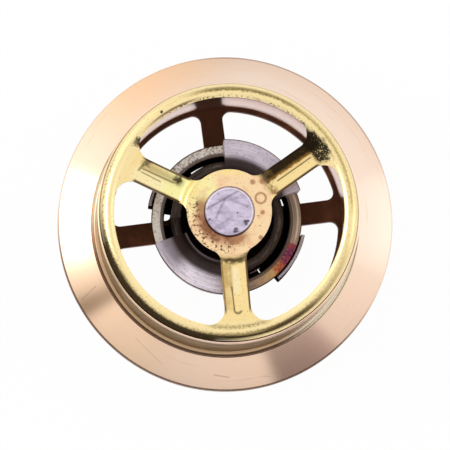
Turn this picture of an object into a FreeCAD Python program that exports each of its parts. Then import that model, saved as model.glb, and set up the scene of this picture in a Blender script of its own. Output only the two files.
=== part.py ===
"""Thermostatic valve element for the oil circuit of an air compressor.

A turned bronze sleeve with a wide seat flange carries a four-armed web.  The web
holds a wax capsule and, in a steel cage, the return spring.  A pressed brass cap
with three ribbed spokes stands on the capsule's rod and lifts as the wax melts.

Millimetres, +Z up along the axis.  The origin is the centre of the capsule's foot.
"""
import FreeCAD, Part
import math
import os

import Sketcher
from FreeCAD import Placement, Rotation, Vector

OUT_DIR = "parts"

# Driving dimensions
SIZES = {
    # bronze sleeve and its seat flange
    "flange_level": 30.0,
    "flange_radius": 33.0,
    "flange_thickness": 3.5,
    "flange_bevel": 0.4,
    "sleeve_radius": 25.2,
    "sleeve_wall": 2.05,
    "sleeve_height": 28.0,
    "foot_width": 0.7,
    "foot_height": 0.6,
    "relief_width": 0.5,
    "relief_depth": 0.6,
    "mouth_wall": 0.45,
    "mouth_depth": 10.0,
    "rim_bevel": 0.2,
    # four-armed web
    "web_thickness": 2.5,
    "web_ledge": 0.75,
    "web_seat_depth": 0.95,
    "web_hub_wall": 1.7,
    "arm_width": 4.3,
    "arm_turn": 7.4,
    "arm_fillet": 1.6,
    "arm_root_fillet": 0.9,
    # wax capsule
    "cup_radius": 9.2,
    "cup_wall": 1.0,
    "cup_foot_round": 1.5,
    "cup_lip_width": 1.3,
    "cup_lip_height": 1.2,
    "wax_depth": 11.0,
    "plug_thickness": 3.0,
    "disc_thickness": 1.0,
    "seal_section": 1.5,
    "seal_drop": 4.0,
    "clip_thickness": 1.0,
    "clip_width": 1.5,
    "clip_gap_angle": 60.0,
    # rod
    "piston_radius": 3.2,
    "rod_radius": 4.75,
    "rod_body_radius": 5.6,
    "rod_head": 0.7,
    "rod_head_bevel": 0.25,
    "rod_lift": 0.2,
    "ring_thickness": 0.8,
    "ring_width": 1.85,
    "ring_bite": 0.7,
    "collar_thickness": 1.4,
    "collar_step": 0.05,
    "washer_thickness": 0.8,
    "washer_radius": 7.0,
    # return spring, just outside the cup's radius
    "spring_offset": 0.8,
    "spring_wire": 1.9,
    "spring_turns": 3.5,
    # spring cage and its clip, set out from the cup's lip
    "cage_gap": 1.7,
    "cage_wall": 2.5,
    "cage_rim_height": 10.7,
    "wing_step": 0.35,
    "wing_height": 18.2,
    "wing_thickness": 2.6,
    "wing_reach": 2.2,
    "wing_round": 1.8,
    "wing_angle": 72.5,
    "wing_turn": 56.65,
    "ear_plate_thickness": 0.8,
    "ear_plate_gap": 1.1,
    "ear_plate_inset": 0.8,
    "ear_thickness": 0.75,
    "ear_height": 10.2,
    "ear_angle": 37.0,
    "ear_turn": -29.5,
    # brass cap
    "cap_rise": 2.6,
    "cap_wall": 0.9,
    "cap_round": 1.85,
    "cap_skirt": 9.8,
    "ring_band": 2.45,
    "ring_crown": 1.0,
    "hub_radius": 8.1,
    "hub_slope": 1.3,
    "spoke_width": 5.0,
    "spoke_turn": 35.0,
    "spoke_drop": 0.9,
    "spoke_fillet": 2.9,
    "spoke_root_fillet": 2.2,
    "rib_width": 2.2,
    "rib_height": 0.7,
    "rib_root_gap": 2.3,
    "rib_tip_gap": 3.4,
    # clearances
    "slide_clearance": 0.1,
    "bore_clearance": 0.05,
    "seat_clearance": 0.05,
}

ARM_COUNT = 4
SPOKE_COUNT = 3
WING_COUNT = 2
EAR_COUNT = 2
FULL_TURN = 360.0

doc = FreeCAD.newDocument("thermostatic_valve")
sheet = doc.addObject("Spreadsheet::Sheet", "sizes")


class Length:
    """A size that keeps its value together with the sheet formula behind it."""

    def __init__(self, value, formula):
        self.value = value
        self.formula = formula

    def join(self, sign, other, value):
        """Return the Length of this one and another joined by a sign."""
        other_formula = other.formula if isinstance(other, Length) else repr(other)
        return Length(value, f"({self.formula} {sign} {other_formula})")

    def __add__(self, other):
        return self.join("+", other, self.value + number(other))

    def __sub__(self, other):
        return self.join("-", other, self.value - number(other))

    def __mul__(self, other):
        return self.join("*", other, self.value * number(other))

    def __truediv__(self, other):
        return self.join("/", other, self.value / number(other))


def number(size):
    """Return the plain value of a Length or a number."""
    return size.value if isinstance(size, Length) else float(size)


def fill_sheet():
    """Write the driving dimensions to the sheet and return them by name."""
    lengths = {}
    for row, (alias, value) in enumerate(SIZES.items(), start=1):
        sheet.set(f"A{row}", alias)
        sheet.set(f"B{row}", str(value))
        sheet.setAlias(f"B{row}", alias)
        lengths[alias] = Length(value, f"sizes.{alias}")
    doc.recompute()
    return lengths


S = fill_sheet()
ZERO = Length(0.0, "0")


def bind(item, path, size):
    """Tie one property of an object to the sheet."""
    item.setExpression(path, size.formula)


def new_body(label):
    """Return an empty body with a label of its own."""
    body = doc.addObject("PartDesign::Body", label)
    body.Label = label
    return body


def origin_plane(body, role):
    """Return one of the body's own origin planes."""
    return next(item for item in body.Origin.OriginFeatures if item.Role == role)


def new_sketch(body, name, role="XY_Plane", level=None, turn=None):
    """Return a sketch on an origin plane, raised to a level and turned about Z."""
    sketch = body.newObject("Sketcher::SketchObject", name)
    sketch.AttachmentSupport = (origin_plane(body, role), [""])
    sketch.MapMode = "FlatFace"
    height = number(level) if level is not None else 0.0
    angle = number(turn) if turn is not None else 0.0
    sketch.AttachmentOffset = Placement(Vector(0, 0, height), Rotation(Vector(0, 0, 1), angle))
    if level is not None:
        bind(sketch, "AttachmentOffset.Base.z", level)
    if turn is not None:
        bind(sketch, "AttachmentOffset.Rotation.Angle", turn)
    return sketch


def fix_size(sketch, kind, targets, size):
    """Add one dimension to a sketch and tie it to the sheet."""
    index = sketch.addConstraint(Sketcher.Constraint(kind, *targets, number(size)))
    sketch.setExpression(f"Constraints[{index}]", size.formula)


def fix_point(sketch, edge, end, x, y):
    """Hold a point of a sketch at x, y, each a Length."""
    for axis, kind, size in ((-2, "DistanceX", x), (-1, "DistanceY", y)):
        if number(size) == 0.0:
            sketch.addConstraint(Sketcher.Constraint("PointOnObject", edge, end, axis))
        elif number(size) > 0.0:
            fix_size(sketch, kind, (-1, 1, edge, end), size)
        else:
            fix_size(sketch, kind, (edge, end, -1, 1), size * -1)


def polygon(sketch, corners):
    """Draw a closed outline through corners given as pairs of Lengths."""
    points = [Vector(number(x), number(y), 0) for x, y in corners]
    count = len(points)
    for k in range(count):
        sketch.addGeometry(Part.LineSegment(points[k], points[(k + 1) % count]), False)
    for k in range(count):
        sketch.addConstraint(Sketcher.Constraint("Coincident", k, 2, (k + 1) % count, 1))
    for k, (x, y) in enumerate(corners):
        fix_point(sketch, k, 1, x, y)


def revolve(body, name, corners):
    """Revolve an outline of radii and levels about the axis, or cut it if there is a solid."""
    sketch = new_sketch(body, f"{name}_section", "XZ_Plane")
    polygon(sketch, corners)
    feature = body.newObject("PartDesign::Revolution", name)
    feature.Profile = sketch
    feature.ReferenceAxis = (sketch, ["V_Axis"])
    feature.Angle = FULL_TURN
    sketch.Visibility = False
    doc.recompute()
    return feature


def groove(body, name, corners):
    """Cut a revolved outline of radii and levels from the body."""
    sketch = new_sketch(body, f"{name}_section", "XZ_Plane")
    polygon(sketch, corners)
    feature = body.newObject("PartDesign::Groove", name)
    feature.Profile = sketch
    feature.ReferenceAxis = (sketch, ["V_Axis"])
    feature.Angle = FULL_TURN
    doc.recompute()
    return feature


def pad(body, name, sketch, length, downward=False):
    """Pad a sketch by a length."""
    feature = body.newObject("PartDesign::Pad", name)
    feature.Profile = sketch
    bind(feature, "Length", length)
    feature.Reversed = downward
    doc.recompute()
    return feature


def pocket(body, name, sketch, depth, upward=False):
    """Cut a sketch down into the body by a depth."""
    feature = body.newObject("PartDesign::Pocket", name)
    feature.Profile = sketch
    bind(feature, "Length", depth)
    feature.Reversed = upward
    doc.recompute()
    return feature


def around(body, name, features, sketch, count):
    """Repeat features about the axis."""
    pattern = body.newObject("PartDesign::PolarPattern", name)
    pattern.Originals = features
    pattern.Axis = (sketch, ["N_Axis"])
    pattern.Angle = FULL_TURN
    pattern.Occurrences = count
    body.Tip = pattern
    doc.recompute()
    return pattern


def ring_edges(shape, radius, level):
    """Name the circular edges of a radius at a level."""
    names = []
    for k, edge in enumerate(shape.Edges, start=1):
        curve = edge.Curve
        if not isinstance(curve, Part.Circle):
            continue
        centre = curve.Center
        off_axis = math.hypot(centre.x, centre.y)
        same_radius = abs(curve.Radius - number(radius)) < 0.001
        if off_axis < 0.001 and same_radius and abs(centre.z - number(level)) < 0.001:
            names.append(f"Edge{k}")
    return names


def dress(body, kind, name, base, edges, size_name, size):
    """Round or bevel named edges of the body's last feature."""
    feature = body.newObject(kind, name)
    feature.Base = (base, edges)
    bind(feature, size_name, size)
    body.Tip = feature
    doc.recompute()
    return feature


def round_rings(body, name, radius, rings):
    """Round the circular edges given as pairs of radius and level."""
    base = body.Tip
    edges = [edge for ring in rings for edge in ring_edges(base.Shape, *ring)]
    return dress(body, "PartDesign::Fillet", name, base, edges, "Radius", radius)


def bevel_rings(body, name, size, rings):
    """Bevel the circular edges given as pairs of radius and level."""
    base = body.Tip
    edges = [edge for ring in rings for edge in ring_edges(base.Shape, *ring)]
    return dress(body, "PartDesign::Chamfer", name, base, edges, "Size", size)


def polar(radius, angle):
    """Return a point at a radius and an angle in degrees."""
    return Vector(radius * math.cos(math.radians(angle)), radius * math.sin(math.radians(angle)), 0)


def arc_through(centre, start, end):
    """Return the counterclockwise arc from start to end about a centre."""
    first = math.atan2(start.y - centre.y, start.x - centre.x)
    last = math.atan2(end.y - centre.y, end.x - centre.x)
    if last < first:
        last += 2 * math.pi
    circle = Part.Circle(centre, Vector(0, 0, 1), start.distanceToPoint(centre))
    return Part.ArcOfCircle(circle, first, last)


def window(sketch, count, inner, outer, width, root, corner):
    """Draw one opening between two spokes, the first along X, with rounded corners.

    inner and outer are the opening's radii, width is the spoke's, root the corner
    radius at the hub and corner the one at the rim.
    """
    pitch = FULL_TURN / count
    half = number(width) / 2
    r_in, r_out, f_in, f_out = (number(v) for v in (inner, outer, root, corner))
    along_out = math.sqrt((r_out - f_out) ** 2 - (half + f_out) ** 2)
    along_in = math.sqrt((r_in + f_in) ** 2 - (half + f_in) ** 2)
    second = Rotation(Vector(0, 0, 1), pitch)
    out_a = Vector(along_out, half + f_out, 0)
    in_a = Vector(along_in, half + f_in, 0)
    out_b = second.multVec(Vector(along_out, -half - f_out, 0))
    in_b = second.multVec(Vector(along_in, -half - f_in, 0))
    line_a = (Vector(along_in, half, 0), Vector(along_out, half, 0))
    line_b = tuple(second.multVec(Vector(x, -half, 0)) for x in (along_in, along_out))
    rim_a, rim_b = (centre * (r_out / centre.Length) for centre in (out_a, out_b))
    hub_a, hub_b = (centre * (r_in / centre.Length) for centre in (in_a, in_b))
    middle = Vector(0, 0, 0)
    outline = [
        arc_through(middle, rim_a, rim_b),
        arc_through(out_b, rim_b, line_b[1]),
        Part.LineSegment(*line_b),
        arc_through(in_b, line_b[0], hub_b),
        arc_through(middle, hub_a, hub_b),
        arc_through(in_a, hub_a, line_a[0]),
        Part.LineSegment(*line_a),
        arc_through(out_a, line_a[1], rim_a),
    ]
    for edge in outline:
        sketch.addGeometry(edge, False)
    # each joint of the outline is tangent: edge, end, next edge, end
    joints = (
        (0, 2, 1, 1), (1, 2, 2, 2), (2, 1, 3, 1), (3, 2, 4, 2),
        (4, 1, 5, 1), (5, 2, 6, 1), (6, 2, 7, 1), (7, 2, 0, 1),
    )
    for joint in joints:
        sketch.addConstraint(Sketcher.Constraint("Tangent", *joint))
    for edge, radius in ((0, outer), (4, inner)):
        sketch.addConstraint(Sketcher.Constraint("Coincident", edge, 3, -1, 1))
        fix_size(sketch, "Radius", (edge,), radius)
    for edge, radius in ((1, corner), (7, corner), (3, root), (5, root)):
        fix_size(sketch, "Radius", (edge,), radius)
    for edge in (6, 2):
        fix_size(sketch, "Distance", (-1, 1, edge), width / 2)
    sketch.addConstraint(Sketcher.Constraint("Horizontal", 6))
    sketch.addConstraint(Sketcher.Constraint("Angle", 2, math.radians(pitch)))


def slot(sketch, start, end, width):
    """Draw a round-ended slot along X between two radii, over its ends."""
    half = number(width) / 2
    first, last = number(start) + half, number(end) - half
    sketch.addGeometry(Part.LineSegment(Vector(first, half, 0), Vector(last, half, 0)), False)
    sketch.addGeometry(Part.LineSegment(Vector(first, -half, 0), Vector(last, -half, 0)), False)
    near = arc_through(Vector(first, 0, 0), Vector(first, half, 0), Vector(first, -half, 0))
    far = arc_through(Vector(last, 0, 0), Vector(last, -half, 0), Vector(last, half, 0))
    sketch.addGeometry(near, False)
    sketch.addGeometry(far, False)
    for joint in ((0, 1, 2, 1), (2, 2, 1, 1), (1, 2, 3, 1), (3, 2, 0, 2)):
        sketch.addConstraint(Sketcher.Constraint("Tangent", *joint))
    for edge in (2, 3):
        sketch.addConstraint(Sketcher.Constraint("PointOnObject", edge, 3, -1))
    fix_size(sketch, "Radius", (2,), width / 2)
    sketch.addConstraint(Sketcher.Constraint("Equal", 2, 3))
    fix_size(sketch, "DistanceX", (-1, 1, 2, 3), start + width / 2)
    fix_size(sketch, "DistanceX", (-1, 1, 3, 3), end - width / 2)


def sector(sketch, inner, outer, angle):
    """Draw a ring sector of an angle, centred on X."""
    r_in, r_out, half = number(inner), number(outer), number(angle) / 2
    middle = Vector(0, 0, 0)
    in_a, in_b = polar(r_in, -half), polar(r_in, half)
    out_a, out_b = polar(r_out, -half), polar(r_out, half)
    sketch.addGeometry(arc_through(middle, out_a, out_b), False)
    sketch.addGeometry(Part.LineSegment(out_b, in_b), False)
    sketch.addGeometry(arc_through(middle, in_a, in_b), False)
    sketch.addGeometry(Part.LineSegment(in_a, out_a), False)
    for joint in ((0, 2, 1, 1), (1, 2, 2, 2), (2, 1, 3, 1), (3, 2, 0, 1)):
        sketch.addConstraint(Sketcher.Constraint("Coincident", *joint))
    for edge, radius in ((0, outer), (2, inner)):
        sketch.addConstraint(Sketcher.Constraint("Coincident", edge, 3, -1, 1))
        fix_size(sketch, "Radius", (edge,), radius)
    for edge in (1, 3):
        sketch.addConstraint(Sketcher.Constraint("PointOnObject", -1, 1, edge))
    sketch.addConstraint(Sketcher.Constraint("Symmetric", 0, 1, 0, 2, -1))
    index = sketch.addConstraint(Sketcher.Constraint("Angle", 3, 2, 1, 1, math.radians(2 * half)))
    sketch.setExpression(f"Constraints[{index}]", f"{angle.formula} * 1 deg")


# Levels and radii that several pieces share
FLANGE_TOP = S["flange_level"]
FLANGE_UNDER = FLANGE_TOP - S["flange_thickness"]
SLEEVE_TOP = FLANGE_TOP + S["sleeve_height"]
MOUTH_FLOOR = SLEEVE_TOP - S["mouth_depth"]
MOUTH_RADIUS = S["sleeve_radius"] - S["mouth_wall"]
WEB_TOP = FLANGE_UNDER + S["web_thickness"]
BORE_RADIUS = S["sleeve_radius"] - S["sleeve_wall"]
WEB_RADIUS = BORE_RADIUS + S["web_seat_depth"]
WEB_HUB_BORE = S["cup_radius"] + S["bore_clearance"]
WEB_HUB_RADIUS = WEB_HUB_BORE + S["web_hub_wall"]
LIP_RADIUS = S["cup_radius"] + S["cup_lip_width"]
LIP_TOP = WEB_TOP + S["seat_clearance"] + S["cup_lip_height"]
CUP_BORE = S["cup_radius"] - S["cup_wall"]
WAX_TOP = S["cup_wall"] + S["wax_depth"]
PLUG_TOP = WAX_TOP + S["plug_thickness"]
DISC_TOP = PLUG_TOP + S["disc_thickness"]
GUIDE_BORE = S["piston_radius"] + S["bore_clearance"]
ROD_START = LIP_TOP + S["rod_lift"]
RING_BASE = ROD_START + S["rod_lift"] * 2
RING_TOP = RING_BASE + S["ring_thickness"]
COLLAR_BASE = RING_TOP + S["seat_clearance"]
COLLAR_TOP = COLLAR_BASE + S["collar_thickness"]
CAP_TOP = SLEEVE_TOP + S["cap_rise"]
HUB_UNDER = CAP_TOP - S["cap_wall"]
WASHER_BASE = HUB_UNDER - S["washer_thickness"]
PLATE_TOP = WEB_TOP + S["ear_plate_thickness"]
CAGE_BASE = PLATE_TOP + S["seat_clearance"]
CAGE_RIM = FLANGE_TOP + S["cage_rim_height"]
WING_TOP = FLANGE_TOP + S["wing_height"]
WING_UNDER = WING_TOP - S["wing_thickness"]
CAGE_BORE = LIP_RADIUS + S["cage_gap"]
CAGE_RADIUS = CAGE_BORE + S["cage_wall"]
WING_RADIUS = CAGE_RADIUS + S["wing_step"]
WING_BORE = CAGE_BORE - S["wing_reach"]
SPRING_BASE = COLLAR_TOP + S["seat_clearance"]
SPRING_TOP = WING_UNDER - S["seat_clearance"]
SPRING_RADIUS = S["cup_radius"] + S["spring_offset"]
COLLAR_RADIUS = SPRING_RADIUS + S["spring_wire"] / 2 + S["collar_step"]
CAP_RADIUS = MOUTH_RADIUS - S["slide_clearance"]
OPENING_RADIUS = CAP_RADIUS - S["ring_band"]
SPOKE_TOP = CAP_TOP - S["spoke_drop"]
SPOKE_UNDER = SPOKE_TOP - S["cap_wall"]


def make_valve_sleeve():
    """Turned bronze sleeve, open at both ends, with the seat flange at its foot."""
    body = new_body("valve_sleeve")
    foot = S["sleeve_radius"] + S["foot_width"]
    relief = foot + S["relief_width"]
    relief_floor = FLANGE_TOP - S["relief_depth"]
    web_bore = WEB_RADIUS + S["bore_clearance"]
    foot_top = FLANGE_TOP + S["foot_height"]
    revolve(body, "sleeve_turning", [
        (web_bore, FLANGE_UNDER),
        (S["flange_radius"], FLANGE_UNDER),
        (S["flange_radius"], FLANGE_TOP),
        (relief, FLANGE_TOP),
        (relief, relief_floor),
        (foot, relief_floor),
        (foot, foot_top),
        (S["sleeve_radius"], foot_top),
        (S["sleeve_radius"], SLEEVE_TOP),
        (MOUTH_RADIUS, SLEEVE_TOP),
        (MOUTH_RADIUS, MOUTH_FLOOR),
        (BORE_RADIUS, MOUTH_FLOOR),
        (BORE_RADIUS, WEB_TOP),
        (web_bore, WEB_TOP),
    ])
    bevel_rings(body, "flange_bevels", S["flange_bevel"], [
        (S["flange_radius"], FLANGE_TOP),
        (S["flange_radius"], FLANGE_UNDER),
    ])
    bevel_rings(body, "rim_bevel_cut", S["rim_bevel"], [
        (S["sleeve_radius"], SLEEVE_TOP),
        (foot, foot_top),
        (BORE_RADIUS, MOUTH_FLOOR),
    ])
    return body


def make_web_plate():
    """Four-armed web that is pressed into the sleeve's foot and holds the capsule."""
    body = new_body("web_plate")
    revolve(body, "web_blank", [
        (WEB_HUB_BORE, FLANGE_UNDER),
        (WEB_RADIUS, FLANGE_UNDER),
        (WEB_RADIUS, WEB_TOP),
        (WEB_HUB_BORE, WEB_TOP),
    ])
    sketch = new_sketch(body, "web_window", level=WEB_TOP, turn=S["arm_turn"])
    window(
        sketch, ARM_COUNT, WEB_HUB_RADIUS, BORE_RADIUS - S["web_ledge"],
        S["arm_width"], S["arm_root_fillet"], S["arm_fillet"],
    )
    cut = pocket(body, "web_opening", sketch, S["web_thickness"])
    around(body, "web_openings", [cut], sketch, ARM_COUNT)
    return body


def make_wax_cup():
    """Drawn copper cup of the capsule, with the lip that rests on the web's hub."""
    body = new_body("wax_cup")
    lip_base = WEB_TOP + S["seat_clearance"]
    revolve(body, "cup_turning", [
        (ZERO, ZERO),
        (S["cup_radius"], ZERO),
        (S["cup_radius"], lip_base),
        (LIP_RADIUS, lip_base),
        (LIP_RADIUS, LIP_TOP),
        (CUP_BORE, LIP_TOP),
        (CUP_BORE, S["cup_wall"]),
        (ZERO, S["cup_wall"]),
    ])
    round_rings(body, "cup_foot", S["cup_foot_round"], [(S["cup_radius"], ZERO)])
    bevel_rings(body, "lip_bevel", S["rim_bevel"], [(LIP_RADIUS, LIP_TOP)])
    return body


def make_wax_charge():
    """Wax and copper mixture that fills the bottom of the cup."""
    body = new_body("wax_charge")
    revolve(body, "wax_fill", [
        (ZERO, S["cup_wall"]),
        (CUP_BORE, S["cup_wall"]),
        (CUP_BORE, WAX_TOP),
        (ZERO, WAX_TOP),
    ])
    return body


def make_rubber_plug():
    """Rubber plug between the wax and the piston."""
    body = new_body("rubber_plug")
    revolve(body, "plug_turning", [
        (ZERO, WAX_TOP),
        (CUP_BORE, WAX_TOP),
        (CUP_BORE, PLUG_TOP),
        (ZERO, PLUG_TOP),
    ])
    return body


def make_pressure_disc():
    """Hard disc that keeps the rubber from creeping past the piston."""
    body = new_body("pressure_disc")
    revolve(body, "disc_turning", [
        (ZERO, PLUG_TOP),
        (S["piston_radius"], PLUG_TOP),
        (S["piston_radius"], DISC_TOP),
        (ZERO, DISC_TOP),
    ])
    return body


def make_guide_bush():
    """Brass bush that is crimped in the cup and guides the piston."""
    body = new_body("guide_bush")
    seal_radius = GUIDE_BORE + S["seal_section"]
    seal_top = LIP_TOP - S["seal_drop"]
    seal_base = seal_top - S["seal_section"] - S["seat_clearance"] * 2
    revolve(body, "bush_turning", [
        (GUIDE_BORE, PLUG_TOP),
        (CUP_BORE, PLUG_TOP),
        (CUP_BORE, LIP_TOP),
        (GUIDE_BORE, LIP_TOP),
        (GUIDE_BORE, seal_top),
        (seal_radius, seal_top),
        (seal_radius, seal_base),
        (GUIDE_BORE, seal_base),
    ])
    return body


def make_rod_seal():
    """Sealing ring in the bush's groove, round the piston."""
    ring = doc.addObject("Part::Torus", "rod_seal")
    ring.Label = "rod_seal"
    half = S["seal_section"] / 2
    bind(ring, "Radius1", GUIDE_BORE + half)
    bind(ring, "Radius2", half - S["bore_clearance"] / 2)
    level = LIP_TOP - S["seal_drop"] - half - S["seat_clearance"]
    ring.Placement = Placement(Vector(0, 0, number(level)), Rotation())
    bind(ring, "Placement.Base.z", level)
    return ring


def make_cup_clip():
    """Snap ring under the web that keeps the capsule in its hub."""
    body = new_body("cup_clip")
    inner = S["cup_radius"]
    outer = inner + S["clip_width"]
    top = FLANGE_UNDER - S["seat_clearance"]
    base = top - S["clip_thickness"]
    revolve(body, "clip_turning", [(inner, base), (outer, base), (outer, top), (inner, top)])
    sketch = new_sketch(body, "clip_gap", level=top)
    sector(sketch, inner - S["clip_width"], outer + S["clip_width"], S["clip_gap_angle"])
    pocket(body, "clip_opening", sketch, S["clip_thickness"] * 2)
    return body


def make_push_rod():
    """Steel rod: piston below, shouldered body, and the end riveted in the cap's hub."""
    body = new_body("push_rod")
    groove_radius = S["rod_radius"] - S["ring_bite"]
    rod_top = CAP_TOP + S["rod_head"]
    revolve(body, "rod_turning", [
        (ZERO, DISC_TOP),
        (S["piston_radius"], DISC_TOP),
        (S["piston_radius"], ROD_START),
        (S["rod_radius"], ROD_START),
        (S["rod_radius"], RING_BASE),
        (groove_radius, RING_BASE),
        (groove_radius, RING_TOP),
        (S["rod_radius"], RING_TOP),
        (S["rod_radius"], COLLAR_TOP),
        (S["rod_body_radius"], COLLAR_TOP),
        (S["rod_body_radius"], WASHER_BASE),
        (S["rod_radius"], WASHER_BASE),
        (S["rod_radius"], rod_top),
        (ZERO, rod_top),
    ])
    bevel_rings(body, "rod_head_edge", S["rod_head_bevel"], [(S["rod_radius"], rod_top)])
    return body


def make_rod_ring():
    """Snap ring in the rod's groove, which carries the spring collar."""
    body = new_body("rod_ring")
    inner = S["rod_radius"] - S["ring_bite"]
    outer = S["rod_radius"] + S["ring_width"]
    revolve(body, "ring_turning", [
        (inner, RING_BASE), (outer, RING_BASE), (outer, RING_TOP), (inner, RING_TOP),
    ])
    sketch = new_sketch(body, "ring_gap", level=RING_TOP)
    sector(sketch, inner - S["ring_bite"], outer + S["ring_bite"], S["clip_gap_angle"])
    pocket(body, "ring_opening", sketch, S["ring_thickness"] * 2)
    return body


def make_spring_collar():
    """Steel washer on the rod that lifts the spring's lower end."""
    body = new_body("spring_collar")
    inner = S["rod_radius"] + S["bore_clearance"]
    revolve(body, "collar_turning", [
        (inner, COLLAR_BASE),
        (COLLAR_RADIUS, COLLAR_BASE),
        (COLLAR_RADIUS, COLLAR_TOP),
        (inner, COLLAR_TOP),
    ])
    return body


def make_hub_washer():
    """Washer between the rod's shoulder and the cap's hub."""
    body = new_body("hub_washer")
    inner = S["rod_radius"] + S["bore_clearance"]
    revolve(body, "washer_turning", [
        (inner, WASHER_BASE),
        (S["washer_radius"], WASHER_BASE),
        (S["washer_radius"], HUB_UNDER),
        (inner, HUB_UNDER),
    ])
    return body


def make_return_spring():
    """Round-wire compression spring with ground ends."""
    body = new_body("return_spring")
    wire = S["spring_wire"]
    length = SPRING_TOP - SPRING_BASE
    sketch = new_sketch(body, "wire_section", "XZ_Plane")
    centre = Vector(number(SPRING_RADIUS), number(SPRING_BASE), 0)
    sketch.addGeometry(Part.Circle(centre, Vector(0, 0, 1), number(wire) / 2), False)
    fix_size(sketch, "Radius", (0,), wire / 2)
    fix_point(sketch, 0, 3, SPRING_RADIUS, SPRING_BASE)
    coil = body.newObject("PartDesign::AdditiveHelix", "coil")
    coil.Profile = sketch
    coil.ReferenceAxis = (sketch, ["V_Axis"])
    coil.Mode = "height-turns-angle"
    bind(coil, "Height", length)
    bind(coil, "Turns", S["spring_turns"])
    doc.recompute()
    # the ends are ground flat: what stands past each end is cut away
    inner = SPRING_RADIUS - wire
    outer = SPRING_RADIUS + wire
    groove(body, "ground_foot", [
        (inner, SPRING_BASE - wire), (outer, SPRING_BASE - wire),
        (outer, SPRING_BASE), (inner, SPRING_BASE),
    ])
    groove(body, "ground_head", [
        (inner, SPRING_TOP), (outer, SPRING_TOP),
        (outer, SPRING_TOP + wire), (inner, SPRING_TOP + wire),
    ])
    return body


def make_spring_cage():
    """Steel cage round the spring; two wings rise past its rim and curl in over the coil."""
    body = new_body("spring_cage")
    revolve(body, "cage_turning", [
        (CAGE_BORE, CAGE_BASE),
        (CAGE_RADIUS, CAGE_BASE),
        (CAGE_RADIUS, CAGE_RIM),
        (WING_RADIUS, CAGE_RIM),
        (WING_RADIUS, WING_TOP),
        (WING_BORE, WING_TOP),
        (WING_BORE, WING_UNDER),
        (CAGE_BORE, WING_UNDER),
    ])
    round_rings(body, "wing_curl", S["wing_round"], [(WING_BORE, WING_TOP)])
    gap_angle = Length(FULL_TURN / WING_COUNT, str(FULL_TURN / WING_COUNT)) - S["wing_angle"]
    quarter = FULL_TURN / WING_COUNT / 2
    sketch = new_sketch(body, "cage_gap", level=WING_TOP, turn=S["wing_turn"] + quarter)
    sector(sketch, WING_BORE / 2, WING_RADIUS * 1.2, gap_angle)
    cut = pocket(body, "cage_opening", sketch, WING_TOP - CAGE_RIM)
    around(body, "cage_openings", [cut], sketch, WING_COUNT)
    return body


def make_cage_clip():
    """Stamped clip on the web: a flat ring whose two ears stand against the cage."""
    body = new_body("cage_clip")
    plate_bore = LIP_RADIUS + S["ear_plate_gap"]
    plate_radius = CAGE_RADIUS - S["ear_plate_inset"]
    ear_inner = CAGE_RADIUS + S["seat_clearance"] * 2
    ear_outer = ear_inner + S["ear_thickness"]
    ear_top = FLANGE_TOP + S["ear_height"]
    revolve(body, "clip_ring", [
        (plate_bore, WEB_TOP),
        (plate_radius, WEB_TOP),
        (plate_radius, PLATE_TOP),
        (plate_bore, PLATE_TOP),
    ])
    leg = new_sketch(body, "leg_outline", level=WEB_TOP, turn=S["ear_turn"])
    sector(leg, plate_bore, ear_outer, S["ear_angle"])
    leg_pad = pad(body, "leg", leg, S["ear_plate_thickness"])
    around(body, "legs", [leg_pad], leg, EAR_COUNT)
    ear = new_sketch(body, "ear_outline", level=WEB_TOP, turn=S["ear_turn"])
    sector(ear, ear_inner, ear_outer, S["ear_angle"])
    ear_pad = pad(body, "ear", ear, ear_top - WEB_TOP)
    around(body, "ears", [ear_pad], ear, EAR_COUNT)
    return body


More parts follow.
